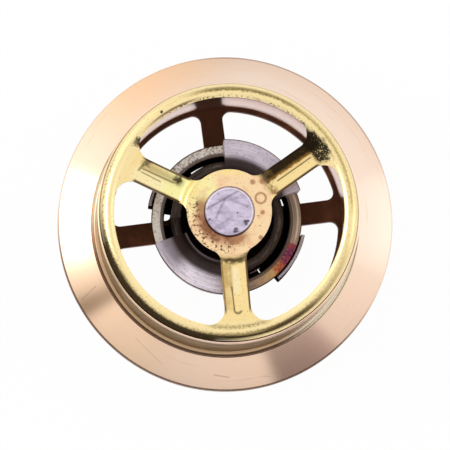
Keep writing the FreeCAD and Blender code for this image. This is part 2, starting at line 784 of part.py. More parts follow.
def make_spider_cap():
    """Pressed brass cap: sliding skirt, rounded shoulder, three ribbed spokes and a hub."""
    body = new_body("spider_cap")
    wall = S["cap_wall"]
    skirt_base = CAP_TOP - S["cap_rise"] - S["cap_skirt"]
    hub_hole = S["rod_radius"] + S["bore_clearance"]
    slope_end = S["hub_radius"] + S["hub_slope"]
    ring_foot = OPENING_RADIUS - S["ring_crown"] / 2
    ring_top = OPENING_RADIUS + S["ring_crown"] / 2
    revolve(body, "cap_pressing", [
        (hub_hole, HUB_UNDER),
        (S["hub_radius"], HUB_UNDER),
        (slope_end, SPOKE_UNDER),
        (ring_foot, SPOKE_UNDER),
        (ring_top, HUB_UNDER),
        (CAP_RADIUS - wall, HUB_UNDER),
        (CAP_RADIUS - wall, skirt_base),
        (CAP_RADIUS, skirt_base),
        (CAP_RADIUS, CAP_TOP),
        (ring_top, CAP_TOP),
        (ring_foot, SPOKE_TOP),
        (slope_end, SPOKE_TOP),
        (S["hub_radius"], CAP_TOP),
        (hub_hole, CAP_TOP),
    ])
    round_rings(body, "cap_shoulder", S["cap_round"], [(CAP_RADIUS, CAP_TOP)])
    round_rings(body, "cap_inner_shoulder", S["cap_round"] - wall, [(CAP_RADIUS - wall, HUB_UNDER)])
    sketch = new_sketch(body, "spoke_window", level=CAP_TOP, turn=S["spoke_turn"])
    window(
        sketch, SPOKE_COUNT, S["hub_radius"], OPENING_RADIUS,
        S["spoke_width"], S["spoke_root_fillet"], S["spoke_fillet"],
    )
    cut = pocket(body, "spoke_opening", sketch, S["cap_rise"] + S["cap_wall"])
    around(body, "spoke_openings", [cut], sketch, SPOKE_COUNT)
    rib = new_sketch(body, "rib_outline", level=SPOKE_TOP, turn=S["spoke_turn"])
    rib_start = S["hub_radius"] + S["rib_root_gap"]
    rib_end = OPENING_RADIUS - S["rib_tip_gap"]
    slot(rib, rib_start, rib_end, S["rib_width"])
    raised = pad(body, "rib", rib, S["rib_height"])
    around(body, "ribs", [raised], rib, SPOKE_COUNT)
    hollow = new_sketch(body, "rib_hollow_outline", level=SPOKE_UNDER, turn=S["spoke_turn"])
    inset = wall / 2
    slot(hollow, rib_start + inset, rib_end - inset, S["rib_width"] - wall)
    pressed = pocket(body, "rib_hollow", hollow, S["rib_height"], upward=True)
    around(body, "rib_hollows", [pressed], hollow, SPOKE_COUNT)
    return body


def check(parts):
    """Stop if any object failed or any sub-part has no valid solid."""
    for item in doc.Objects:
        if "Invalid" in item.State or "Error" in item.State:
            raise RuntimeError(f"{item.Name} failed: {item.State}")
    for part in parts:
        if part.Shape.isNull() or not part.Shape.isValid() or not part.Shape.Solids:
            raise RuntimeError(f"{part.Label} has no valid solid")


def main():
    """Build every sub-part and write one STEP file for each."""
    parts = [
        make_valve_sleeve(),
        make_web_plate(),
        make_wax_cup(),
        make_wax_charge(),
        make_rubber_plug(),
        make_pressure_disc(),
        make_guide_bush(),
        make_rod_seal(),
        make_cup_clip(),
        make_push_rod(),
        make_rod_ring(),
        make_spring_collar(),
        make_hub_washer(),
        make_return_spring(),
        make_spring_cage(),
        make_cage_clip(),
        make_spider_cap(),
    ]
    doc.recompute()
    check(parts)
    os.makedirs(OUT_DIR, exist_ok=True)
    for part in parts:
        part.Shape.exportStep(os.path.join(OUT_DIR, f"{part.Label}.step"))
        print(f"{part.Label}: {len(part.Shape.Solids)} solid, {part.Shape.Volume:.1f} mm3")


main()
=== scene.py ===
"""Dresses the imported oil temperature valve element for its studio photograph.

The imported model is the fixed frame.  Turned and pressed pieces are rebuilt here with
fine meshes on the same sizes, and every surface gets a procedural finish.
Sizes are in millimetres and are turned into metres where meshes are made.
"""

import logging
import math
from collections.abc import Callable
from dataclasses import dataclass, field
from enum import Enum

import bmesh
import bpy
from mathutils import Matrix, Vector


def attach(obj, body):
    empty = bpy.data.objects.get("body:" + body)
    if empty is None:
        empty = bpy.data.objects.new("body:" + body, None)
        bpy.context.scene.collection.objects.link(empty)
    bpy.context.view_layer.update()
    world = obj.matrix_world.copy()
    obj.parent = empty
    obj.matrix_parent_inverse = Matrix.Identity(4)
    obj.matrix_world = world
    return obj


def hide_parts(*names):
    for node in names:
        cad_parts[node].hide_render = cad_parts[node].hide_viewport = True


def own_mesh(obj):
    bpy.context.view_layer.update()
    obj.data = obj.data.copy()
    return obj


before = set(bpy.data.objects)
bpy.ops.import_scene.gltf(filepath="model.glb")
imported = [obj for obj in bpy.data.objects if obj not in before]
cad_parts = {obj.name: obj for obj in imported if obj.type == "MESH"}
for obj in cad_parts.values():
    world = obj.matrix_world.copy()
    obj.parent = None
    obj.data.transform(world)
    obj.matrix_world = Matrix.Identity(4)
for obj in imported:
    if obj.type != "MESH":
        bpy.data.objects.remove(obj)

MM = 0.001
Outline = list[tuple[float, float]]
Colour = tuple[float, float, float]
Place = tuple[float, float]
Stroke = tuple[Place, Place, float, float]
Socket = bpy.types.NodeSocket

log = logging.getLogger("valve_element")


class Body(Enum):
    """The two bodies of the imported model."""

    SLEEVE = "sleeve"
    CAP = "cap"


class Metal(Enum):
    """The record's material slots, one named for each new piece and not used."""

    BRONZE = "bronze"
    DARK_BRONZE = "dark_bronze"
    BRASS = "brass"
    COPPER = "copper"
    STEEL = "steel"
    SPRING_STEEL = "spring_steel"


# Outlines and meshes


def in_plan(radius: float, angle: float) -> Place:
    """Return the point in plan at a radius and an angle in degrees."""
    turn = math.radians(angle)
    return radius * math.cos(turn), radius * math.sin(turn)


def aloft(azimuth: float, polar: float) -> Vector:
    """Return the direction at an azimuth and an angle off the axis, in degrees."""
    a, p = math.radians(azimuth), math.radians(polar)
    return Vector((math.sin(p) * math.cos(a), math.sin(p) * math.sin(a), math.cos(p)))


def smooth(share: float) -> float:
    """Return a smooth rise from 0 to 1 as the share goes from 0 to 1."""
    held = min(max(share, 0.0), 1.0)
    return held * held * (3 - 2 * held)


def put_in_scene(name: str, data: bpy.types.ID) -> bpy.types.Object:
    """Put a new object with that data in the scene."""
    made = bpy.data.objects.new(name, data)
    bpy.context.scene.collection.objects.link(made)
    return made


def softened(outline: Outline, radii: dict[int, float], steps: int = 5) -> Outline:
    """Round chosen corners of a closed outline.

    Args:
        outline: corners as (radius, level).
        radii: corner number to rounding radius.
        steps: arc steps at each rounded corner.

    Returns:
        The outline with arcs at those corners.
    """
    made: Outline = []
    for index, corner in enumerate(outline):
        radius = radii.get(index, 0.0)
        if radius <= 0.0:
            made.append(corner)
            continue
        here = Vector(corner)
        back = (Vector(outline[index - 1]) - here).normalized()
        ahead = (Vector(outline[(index + 1) % len(outline)]) - here).normalized()
        half = back.angle(ahead) / 2
        centre = here + (back + ahead).normalized() * (radius / math.sin(half))
        first = here + back * (radius / math.tan(half)) - centre
        last = here + ahead * (radius / math.tan(half)) - centre
        turn = first.angle(last)
        for step in range(steps + 1):
            share = step / steps
            near = first * math.sin((1 - share) * turn)
            far = last * math.sin(share * turn)
            made.append(tuple(centre + (near + far) / math.sin(turn)))
    return made


class Shell:
    """A mesh that grows out of turned outlines, kept in millimetres until it is done."""

    def __init__(self) -> None:
        """Start with an empty mesh."""
        self.mesh = bmesh.new()

    def turn(
        self,
        outline: Outline,
        span: tuple[float, float] | None = None,
        steps: int = 240,
    ) -> None:
        """Add a closed outline turned about the axis.

        Args:
            outline: corners as (radius, level).
            span: first and last angle in degrees, or None for a whole turn.
            steps: angular steps.
        """
        whole = span is None
        start, end = (0.0, 360.0) if span is None else span
        columns = steps if whole else steps + 1
        rings = []
        for k in range(columns):
            angle = math.radians(start + (end - start) * k / steps)
            across, up = math.cos(angle), math.sin(angle)
            rings.append([self.mesh.verts.new((r * across, r * up, z)) for r, z in outline])
        count = len(outline)
        for k in range(columns if whole else columns - 1):
            near, far = rings[k], rings[(k + 1) % columns]
            for j in range(count):
                self.quad(near[j], far[j], far[(j + 1) % count], near[(j + 1) % count])
        if not whole:
            self.mesh.faces.new(rings[0])
            self.mesh.faces.new(rings[-1])

    def quad(self, *corners: bmesh.types.BMVert) -> None:
        """Add a face, leaving out those that shrink to nothing on the axis."""
        if len({tuple(corner.co) for corner in corners}) > 2:
            self.mesh.faces.new(corners)

    def grid(self, rows: list[list[Vector]]) -> None:
        """Add an open sheet through rows of points."""
        made = [[self.mesh.verts.new(point) for point in row] for row in rows]
        for near, far in zip(made, made[1:]):
            for j in range(len(near) - 1):
                self.quad(near[j], far[j], far[j + 1], near[j + 1])

    def done(self, name: str, smooth_below: float = 35.0) -> bpy.types.Object:
        """Turn the shell into an object in metres.

        Args:
            name: the piece's name.
            smooth_below: edges sharper than this many degrees stay sharp.

        Returns:
            The new object, at the row's origin.
        """
        bmesh.ops.remove_doubles(self.mesh, verts=self.mesh.verts, dist=0.002)
        bmesh.ops.recalc_face_normals(self.mesh, faces=self.mesh.faces)
        bmesh.ops.scale(self.mesh, vec=(MM, MM, MM), verts=self.mesh.verts)
        data = bpy.data.meshes.new(name)
        self.mesh.to_mesh(data)
        self.mesh.free()
        data.shade_smooth()
        data.set_sharp_from_angle(angle=math.radians(smooth_below))
        return put_in_scene(name, data)


@dataclass(frozen=True)
class Spokes:
    """The plan of a plate with spokes: a hub, straight spokes and a rim, with fillets.

    Attributes are radii, except width, count and turn (degrees of the first spoke).
    """

    hub: float
    opening: float
    width: float
    count: int
    turn: float
    root_fillet: float
    rim_fillet: float

    def window_edge(self, steps: int = 12, pitch: float = 0.25) -> list[tuple[float, float]]:
        """Return the window's edge beside a spoke as (radius, angle from the spoke's middle)."""

        def fillet(across: float, up: float, radius: float, start: float, end: float) -> Outline:
            """Return an arc's points between two angles."""
            turns = [start + (end - start) * step / steps for step in range(steps + 1)]
            return [(across + radius * math.cos(t), up + radius * math.sin(t)) for t in turns]

        half = self.width / 2
        root_up, rim_up = half + self.root_fillet, half + self.rim_fillet
        root_along = math.sqrt((self.hub + self.root_fillet) ** 2 - root_up**2)
        rim_along = math.sqrt((self.opening - self.rim_fillet) ** 2 - rim_up**2)
        down = 1.5 * math.pi
        start = math.pi + math.atan2(root_up, root_along)
        points = fillet(root_along, root_up, self.root_fillet, start, down)
        rows = max(2, round((rim_along - root_along) / pitch))
        for step in range(1, rows):
            points.append((root_along + (rim_along - root_along) * step / rows, half))
        end = 2 * math.pi + math.atan2(rim_up, rim_along)
        points += fillet(rim_along, rim_up, self.rim_fillet, down, end)
        return [(math.hypot(x, y), math.atan2(y, x)) for x, y in points]

    def cover(
        self,
        shell: Shell,
        hole: float,
        beyond: list[tuple[float, float | None]],
        height: Callable[[float, float], float],
        across: int = 14,
        between: int = 40,
    ) -> None:
        """Add the plate's top sheet to a shell.

        Args:
            shell: the mesh that takes the sheet.
            hole: the radius of the hub's hole.
            beyond: (radius, level) of rows past the opening, out to the last edge; a row
                without a level follows the height.
            height: the level at an (along, off) point of the nearest spoke.
            across: steps over half a spoke.
            between: steps over half a window.
        """
        edge = self.window_edge()
        pitch = math.pi / self.count
        inner = edge[0][1]
        outer = edge[-1][1]
        hub_rows = [hole + (self.hub - hole) * k / 10 for k in range(11)]
        for spoke in range(self.count):
            middle = math.radians(self.turn) + 2 * pitch * spoke
            for side in (1, -1):

                def place(radius: float, angle: float, level: float | None = None) -> Vector:
                    """Return the point at a radius and an angle from this spoke's middle."""
                    along, off = radius * math.cos(angle), radius * math.sin(angle)
                    up = height(along, off) if level is None else level
                    turn = middle + side * angle
                    return Vector((radius * math.cos(turn), radius * math.sin(turn), up))

                def spread(limit: float) -> list[float]:
                    """Return the angles of a full row whose first part ends at a limit."""
                    near = [limit * k / across for k in range(across + 1)]
                    far = [limit + (pitch - limit) * k / between for k in range(1, between + 1)]
                    return near + far

                shell.grid([[place(r, a) for a in spread(inner)] for r in hub_rows])
                shell.grid([[place(r, b * k / across) for k in range(across + 1)] for r, b in edge])
                ring = [[place(self.opening, a) for a in spread(outer)]]
                ring += [[place(r, a, z) for a in spread(outer)] for r, z in beyond]
                shell.grid(ring)


def thicken(piece: bpy.types.Object, thickness: float, edge: float) -> None:
    """Give a sheet its thickness below the surface and soften its cut edges, in millimetres."""
    solid = piece.modifiers.new("thickness", "SOLIDIFY")
    solid.thickness = thickness * MM
    solid.offset = -1.0
    solid.use_even_offset = True
    soften(piece, edge)


def soften(piece: bpy.types.Object, width: float, angle: float = 55.0) -> None:
    """Bevel a piece's sharp edges by a width in millimetres."""
    bevel = piece.modifiers.new("edges", "BEVEL")
    bevel.width = width * MM
    bevel.segments = 2
    bevel.limit_method = "ANGLE"
    bevel.angle_limit = math.radians(angle)


# Finishes


class Nodes:
    """A node tree with short ways to add and join nodes."""

    def __init__(self, tree: bpy.types.NodeTree) -> None:
        """Start on a tree, emptied."""
        self.tree = tree
        tree.nodes.clear()

    def add(self, kind: str, inputs: dict | None = None, **settings: object) -> bpy.types.Node:
        """Add a node.

        Args:
            kind: the node's type.
            inputs: input name or number to a socket or a value.
            settings: the node's own properties.

        Returns:
            The node.
        """
        node = self.tree.nodes.new(kind)
        for name, value in settings.items():
            setattr(node, name, value)
        for name, value in (inputs or {}).items():
            self.feed(node, name, value)
        return node

    def feed(self, node: bpy.types.Node, name: str | int, value: object) -> None:
        """Set a node's input, or join a socket to it."""
        if isinstance(value, Socket):
            self.tree.links.new(value, node.inputs[name])
        elif isinstance(value, tuple) and len(value) == 3 and node.inputs[name].type == "RGBA":
            node.inputs[name].default_value = (*value, 1.0)
        else:
            node.inputs[name].default_value = value

    def join(self, node: bpy.types.Node, out: bpy.types.Node) -> None:
        """Join a node to the tree's output."""
        self.tree.links.new(node.outputs[0], out.inputs[0])

    def math(self, operation: str, a: object, b: object = 0.0, c: object = 0.0) -> Socket:
        """Return the result of a maths node."""
        return self.add("ShaderNodeMath", {0: a, 1: b, 2: c}, operation=operation).outputs[0]

    def plus(self, a: object, b: object) -> Socket:
        """Return the sum of two values."""
        return self.math("ADD", a, b)

    def minus(self, a: object, b: object) -> Socket:
        """Return one value less another."""
        return self.math("SUBTRACT", a, b)

    def times(self, first: object, *others: object) -> Socket:
        """Return the product of values."""
        for other in others:
            first = self.math("MULTIPLY", first, other)
        return first

    def length(self, a: Socket, b: Socket) -> Socket:
        """Return the length of a way whose two legs are given."""
        return self.math("POWER", self.plus(self.times(a, a), self.times(b, b)), 0.5)

    def mix(self, share: object, a: object, b: object) -> Socket:
        """Return one colour laid over another by a share."""
        return self.add("ShaderNodeMix", {0: share, 6: a, 7: b}, data_type="RGBA").outputs[2]

    def lay(self, base: object, over: object, *shares: object) -> Socket:
        """Return a colour laid over a base by the product of its shares."""
        return self.mix(self.times(*shares), base, over)

    def blend(self, share: object, a: object, b: object) -> Socket:
        """Return a value between two others."""
        return self.add("ShaderNodeMix", {0: share, 2: a, 3: b}, data_type="FLOAT").outputs[0]

    def step(self, value: Socket, low: float, high: float) -> Socket:
        """Return 0 below low and 1 above high, with a smooth rise between."""
        limits = {"Value": value, "From Min": low, "From Max": high}
        node = self.add("ShaderNodeMapRange", limits, interpolation_type="SMOOTHSTEP")
        return node.outputs[0]

    def band(self, value: Socket, low: float, full: float, last: float, high: float) -> Socket:
        """Return 1 from full to last, falling to 0 at low and high."""
        return self.times(self.step(value, low, full), self.step(value, high, last))

    def bump_at(self, value: Socket, centre: float, reach: float) -> Socket:
        """Return 1 at a centre, falling to 0 a reach away on both sides."""
        return self.step(self.math("ABSOLUTE", self.minus(value, centre)), reach, 0.0)

    def vector(self, operation: str, a: object, b: object = (0.0, 0.0, 0.0)) -> Socket:
        """Return the vector result of a vector maths node."""
        return self.add("ShaderNodeVectorMath", {0: a, 1: b}, operation=operation).outputs[0]

    def scaled(self, a: object, size: object) -> Socket:
        """Return a vector times a value."""
        node = self.add("ShaderNodeVectorMath", {0: a, "Scale": size}, operation="SCALE")
        return node.outputs[0]

    def ramp(self, place: Socket, stops: tuple[tuple[float, Colour], ...]) -> Socket:
        """Return the colour at a place among stops, each a place and a colour."""
        node = self.add("ShaderNodeValToRGB", {0: place})
        elements = node.color_ramp.elements
        while len(elements) < len(stops):
            elements.new(0.5)
        for element, (position, colour) in zip(elements, stops):
            element.position = position
            element.color = (*colour, 1.0)
        return node.outputs[0]


class Graph(Nodes):
    """A material's nodes, which know each point's radius, level and angle on the valve."""

    def __init__(self, name: str) -> None:
        """Start an empty material of that name."""
        self.material = bpy.data.materials.new(name)
        self.material.use_nodes = True
        super().__init__(self.material.node_tree)
        self.out = self.add("ShaderNodeOutputMaterial")
        self.point = self.add("ShaderNodeTexCoord").outputs["Object"]
        self.x, self.y, up = self.add("ShaderNodeSeparateXYZ", {"Vector": self.point}).outputs
        self.radius = self.math("DIVIDE", self.length(self.x, self.y), MM)
        self.level = self.math("DIVIDE", up, MM)
        self.angle = self.times(self.math("ARCTAN2", self.y, self.x), 180 / math.pi)

    def toward(self, centre: float, reach: float, edge: float = 6.0) -> Socket:
        """Return 1 within a reach of an angle in degrees, whatever the turn's branch."""
        wrapped = self.math("WRAP", self.minus(self.angle, centre), 180.0, -180.0)
        return self.step(self.math("ABSOLUTE", wrapped), reach + edge, reach)

    def flat(self) -> Socket:
        """Return the point's place in plan."""
        return self.add("ShaderNodeCombineXYZ", {0: self.x, 1: self.y}).outputs[0]

    def stroke(self, start: Place, end: Place, width: float) -> Socket:
        """Return 1 along a straight mark in plan, fading to 0 at its width.

        Args:
            start: radius in millimetres and angle in degrees of one end.
            end: the same for the other end.
            width: how far the mark reaches to each side, in millimetres.

        Returns:
            The mark's share.
        """
        first, last = (Vector((*in_plan(*place), 0.0)) for place in (start, end))
        way = tuple((last - first).normalized())
        from_start = self.vector("SUBTRACT", self.scaled(self.flat(), 1 / MM), tuple(first))
        dot = self.add("ShaderNodeVectorMath", {0: from_start, 1: way}, operation="DOT_PRODUCT")
        along = self.math("MAXIMUM", dot.outputs["Value"], 0.0)
        along = self.math("MINIMUM", along, (last - first).length)
        aside = self.vector("SUBTRACT", from_start, self.scaled(way, along))
        gap = self.add("ShaderNodeVectorMath", {0: aside}, operation="LENGTH").outputs["Value"]
        return self.step(gap, width, 0.0)

    def scratch(
        self, colour: Socket, mark: Colour, strokes: tuple[Stroke, ...], *shares: object
    ) -> Socket:
        """Lay a colour along each stroke of a table, by its own share and any others."""
        for start, end, width, share in strokes:
            colour = self.lay(colour, mark, self.stroke(start, end, width), *shares, share)
        return colour

    def spot(self, radius: float, angle: float) -> Socket:
        """Return the distance in millimetres from a place given by radius and angle."""
        across, up = in_plan(radius, angle)
        dx = self.minus(self.math("DIVIDE", self.x, MM), across)
        return self.length(dx, self.minus(self.math("DIVIDE", self.y, MM), up))

    def noise(
        self, scale: float, detail: float = 4.0, rough: float = 0.55, at: Socket | None = None
    ) -> Socket:
        """Return noise at a scale per metre, at the point or at another vector."""
        inputs = {"Scale": scale, "Detail": detail, "Roughness": rough}
        inputs["Vector"] = self.point if at is None else at
        return self.add("ShaderNodeTexNoise", inputs).outputs["Fac"]

    def polar(self, turn_scale: float, radius_scale: float, level_scale: float) -> Socket:
        """Return a vector of turn, radius and level for marks that follow the turning."""
        around = self.add("ShaderNodeSeparateXYZ", {0: self.outward()}).outputs
        east, north = (self.times(around[k], turn_scale) for k in (0, 1))
        out = self.times(self.radius, radius_scale)
        depth = self.plus(out, self.times(self.level, level_scale))
        return self.add("ShaderNodeCombineXYZ", {0: east, 1: north, 2: depth}).outputs[0]

    def bump(self, height: Socket, strength: float, distance: float) -> Socket:
        """Return a normal bumped by a height, distance in millimetres."""
        inputs = {"Strength": strength, "Distance": distance * MM, "Height": height}
        return self.add("ShaderNodeBump", inputs).outputs[0]

    def outward(self) -> Socket:
        """Return the direction away from the axis."""
        return self.vector("NORMALIZE", self.flat())

    def across_marks(self) -> Socket:
        """Return the surface direction that crosses the marks left by turning."""
        face = self.add("ShaderNodeNewGeometry").outputs["Normal"]
        around = self.add("ShaderNodeCombineXYZ", {0: self.times(self.y, -1.0), 1: self.x})
        return self.vector("NORMALIZE", self.vector("CROSS_PRODUCT", around.outputs[0], face))

    def lean_out(self, normal: Socket, amount: Socket) -> Socket:
        """Return a normal leaned away from the axis, as the tool's feed marks lean."""
        leaned = self.vector("ADD", normal, self.scaled(self.outward(), amount))
        return self.vector("NORMALIZE", leaned)

    def metal(self, colour: Socket, share: float, **inputs: object) -> bpy.types.Material:
        """Finish the material as metal that turns matte where its colour is near black, as in the
        painted shade and the dark marks.

        Args:
            colour: the base colour.
            share: how metallic the clean surface is.
            inputs: the surface's other inputs.

        Returns:
            The material.
        """
        grey = self.add("ShaderNodeRGBToBW", {0: colour}).outputs[0]
        black = self.step(grey, 0.13, 0.05)
        inputs["Metallic"] = self.blend(black, share, 0.0)
        inputs["Specular_IOR_Level"] = self.blend(black, 0.5, 0.0)
        return self.surface(Base_Color=colour, **inputs)

    def surface(self, **inputs: object) -> bpy.types.Material:
        """Finish the material with a Principled surface and return it."""
        names = {key.replace("_", " "): value for key, value in inputs.items()}
        self.join(self.add("ShaderNodeBsdfPrincipled", names), self.out)
        return self.material


@dataclass(frozen=True)
class TurnedBronze:
    """Bronze off the lathe: fine rings, a radial sheen, a peach tint from heat, and painted shade
    on the wall and at the edges.
    """

    colour: Colour = (0.96, 0.70, 0.53)
    blush: Colour = (0.97, 0.61, 0.35)
    pale: Colour = (0.945, 0.755, 0.62)
    warm: Colour = (1.0, 0.685, 0.45)
    peach: Colour = (0.90, 0.62, 0.44)
    rosy: Colour = (0.36, 0.20, 0.16)
    # Painted shade: the next two colours darken the sleeve's outer wall.
    wall: Colour = (0.24, 0.140, 0.052)
    darkest_shade: Colour = (0.13, 0.070, 0.026)
    bare_ring: Colour = (0.46, 0.30, 0.14)
    clean: Colour = (0.64, 0.47, 0.31)
    dull: Colour = (0.36, 0.235, 0.125)
    bore: Colour = (0.99, 0.82, 0.77)
    # Painted light and shade at the sleeve's edges: lip, ledge, groove and rim are painted shade,
    # foot a paler painted light.
    lip: Colour = (0.66, 0.50, 0.29)
    ledge: Colour = (0.62, 0.42, 0.25)
    foot: Colour = (0.84, 0.74, 0.58)
    groove: Colour = (0.050, 0.022, 0.012)
    rim: Colour = (0.13, 0.065, 0.04)
    mark: Colour = (0.42, 0.25, 0.16)
    scratches: tuple[Stroke, ...] = (
        ((28.6, 232.0), (30.4, 246.0), 0.16, 0.28),
        ((29.9, 266.0), (30.3, 271.5), 0.20, 0.55),
        ((31.0, 283.0), (31.4, 287.0), 0.14, 0.3),
        ((28.4, 206.0), (31.8, 208.0), 0.3, 0.3),
    )

    def build(self) -> bpy.types.Material:
        """Make the material."""
        g = Graph("turned_bronze")
        rings = g.noise(1.0, 5.0, 0.6, g.polar(0.5, 9.0, 9.0))
        fine_rings = g.step(g.noise(1.0, 4.0, 0.6, g.polar(0.6, 0.0, 5.0)), 0.45, 0.62)
        lower = g.toward(238.0, 52.0, 26.0)
        outside = g.times(g.band(g.radius, 24.9, 25.05, 25.4, 25.7), g.step(g.level, 57.86, 57.62))
        colour = g.mix(outside, self.tint_face(g), self.shade_wall(g, fine_rings, lower))
        flat = g.step(g.radius, 26.1, 26.35)
        lean = g.times(g.blend(rings, 0.38, 0.47), flat)
        return g.surface(
            Base_Color=self.dress_edges(g, colour, lower),
            Metallic=g.blend(outside, 1.0, 0.8),
            Roughness=g.blend(outside, g.blend(rings, 0.21, 0.25), g.blend(fine_rings, 0.52, 0.38)),
            Anisotropic=g.blend(flat, 0.7, 1.0),
            Tangent=g.across_marks(),
            Normal=g.lean_out(g.bump(rings, 0.08, 0.02), lean),
        )

    def tint_face(self, g: Graph) -> Socket:
        """Return the flange's colour: pale at the upper right, warm at the lower left."""
        tint = g.mix(g.step(g.noise(45.0, 3.0, 0.5), 0.42, 0.72), self.colour, self.blush)
        face = g.mix(0.15, self.colour, tint)
        face = g.mix(g.toward(45.0, 50.0, 26.0), face, self.pale)
        face = g.lay(face, self.warm, g.toward(216.0, 16.0, 24.0), 0.7)
        hot = g.times(g.toward(116.0, 10.0, 26.0), g.step(g.radius, 24.0, 32.5))
        return g.lay(face, self.blush, hot, 0.7)

    def shade_wall(self, g: Graph, fine_rings: Socket, lower: Socket) -> Socket:
        """Return the outer wall's colour: painted shade that darkens it all round and most on the
        lower side, in mottled patches.

        Args:
            g: the finish's node tree.
            fine_rings: the share of bare turned rings.
            lower: the share of the lower side, which is darker.

        Returns:
            The wall's mottled colour with its painted shade.
        """
        # Painted shade: the outer wall is painted darker than the flange, darkest on the lower
        # side, in mottled patches.
        patina = g.step(g.noise(1.0, 5.0, 0.65, g.polar(4.0, 0.0, 0.22)), 0.40, 0.68)
        shaded_wall = g.lay(self.wall, self.darkest_shade, patina, 0.75)
        shaded_wall = g.lay(shaded_wall, self.bare_ring, fine_rings, g.blend(patina, 0.45, 0.1))
        return g.mix(lower, g.lay(self.clean, self.dull, patina, 0.7), shaded_wall)

    def dress_edges(self, g: Graph, colour: Socket, lower: Socket) -> Socket:
        """Lay the bore, scratches, and painted light and shade on the lip, the foot's ledge and
        groove and the flange's rim.

        Args:
            g: the finish's node tree.
            colour: the colour so far.
            lower: the share of the lower side.

        Returns:
            The colour with them.
        """
        colour = g.mix(g.step(g.radius, 24.95, 24.6), colour, self.bore)
        # Painted shade: the lip's top is darker on the left side.
        lip = g.times(g.step(g.level, 57.6, 57.9), g.toward(182.0, 26.0, 22.0))
        colour = g.lay(colour, self.lip, lip, 0.72)
        streak = g.step(g.noise(1.0, 3.0, 0.5, g.polar(2.5, 2.2, 2.2)), 0.62, 0.72)
        colour = g.lay(colour, self.mark, streak, 0.12)
        # Painted shade on the ledge at the lower side, and paler painted light on the foot's fillet
        # elsewhere.
        ledge = g.times(g.band(g.radius, 25.1, 25.3, 25.8, 26.1), g.step(g.level, 31.4, 30.8))
        colour = g.lay(colour, self.ledge, ledge, lower)
        foot = g.times(g.band(g.radius, 25.1, 25.3, 26.45, 26.7), g.minus(1.0, lower))
        colour = g.lay(colour, self.foot, foot, g.step(g.level, 33.0, 31.0))
        # Painted shade: the groove by the foot is near black at the lower left.
        below = g.blend(g.toward(246.0, 46.0, 26.0), 0.0, 0.97)
        colour = g.lay(colour, self.groove, g.bump_at(g.radius, 26.04, 0.42), below)
        colour = g.scratch(colour, self.mark, self.scratches)
        # Painted shade: the flange's outer edge is dark at the lower side.
        rim = g.times(g.step(g.radius, 32.55, 32.75), g.toward(252.0, 56.0, 30.0))
        colour = g.lay(colour, self.rim, rim, 0.85)
        right = g.toward(60.0, 28.0, 20.0)
        colour = g.lay(colour, self.peach, g.step(g.radius, 29.0, 32.6), right, 0.4)
        return g.lay(colour, self.rosy, g.step(g.radius, 32.6, 32.85), right, 0.6)


@dataclass(frozen=True)
class DarkWebBronze:
    """The web's dark chocolate bronze, a little polished where the cutter ran."""

    colour: Colour = (0.105, 0.034, 0.014)
    worn: Colour = (0.26, 0.095, 0.040)

    def build(self) -> bpy.types.Material:
        """Make the material."""
        g = Graph("dark_web_bronze")
        grain = g.noise(900.0, 5.0, 0.6)
        cloud = g.noise(120.0, 3.0, 0.5)
        return g.surface(
            Base_Color=g.mix(g.step(cloud, 0.45, 0.75), self.colour, self.worn),
            Metallic=0.75,
            Roughness=g.blend(grain, 0.38, 0.62),
            Normal=g.bump(grain, 0.25, 0.03),
        )


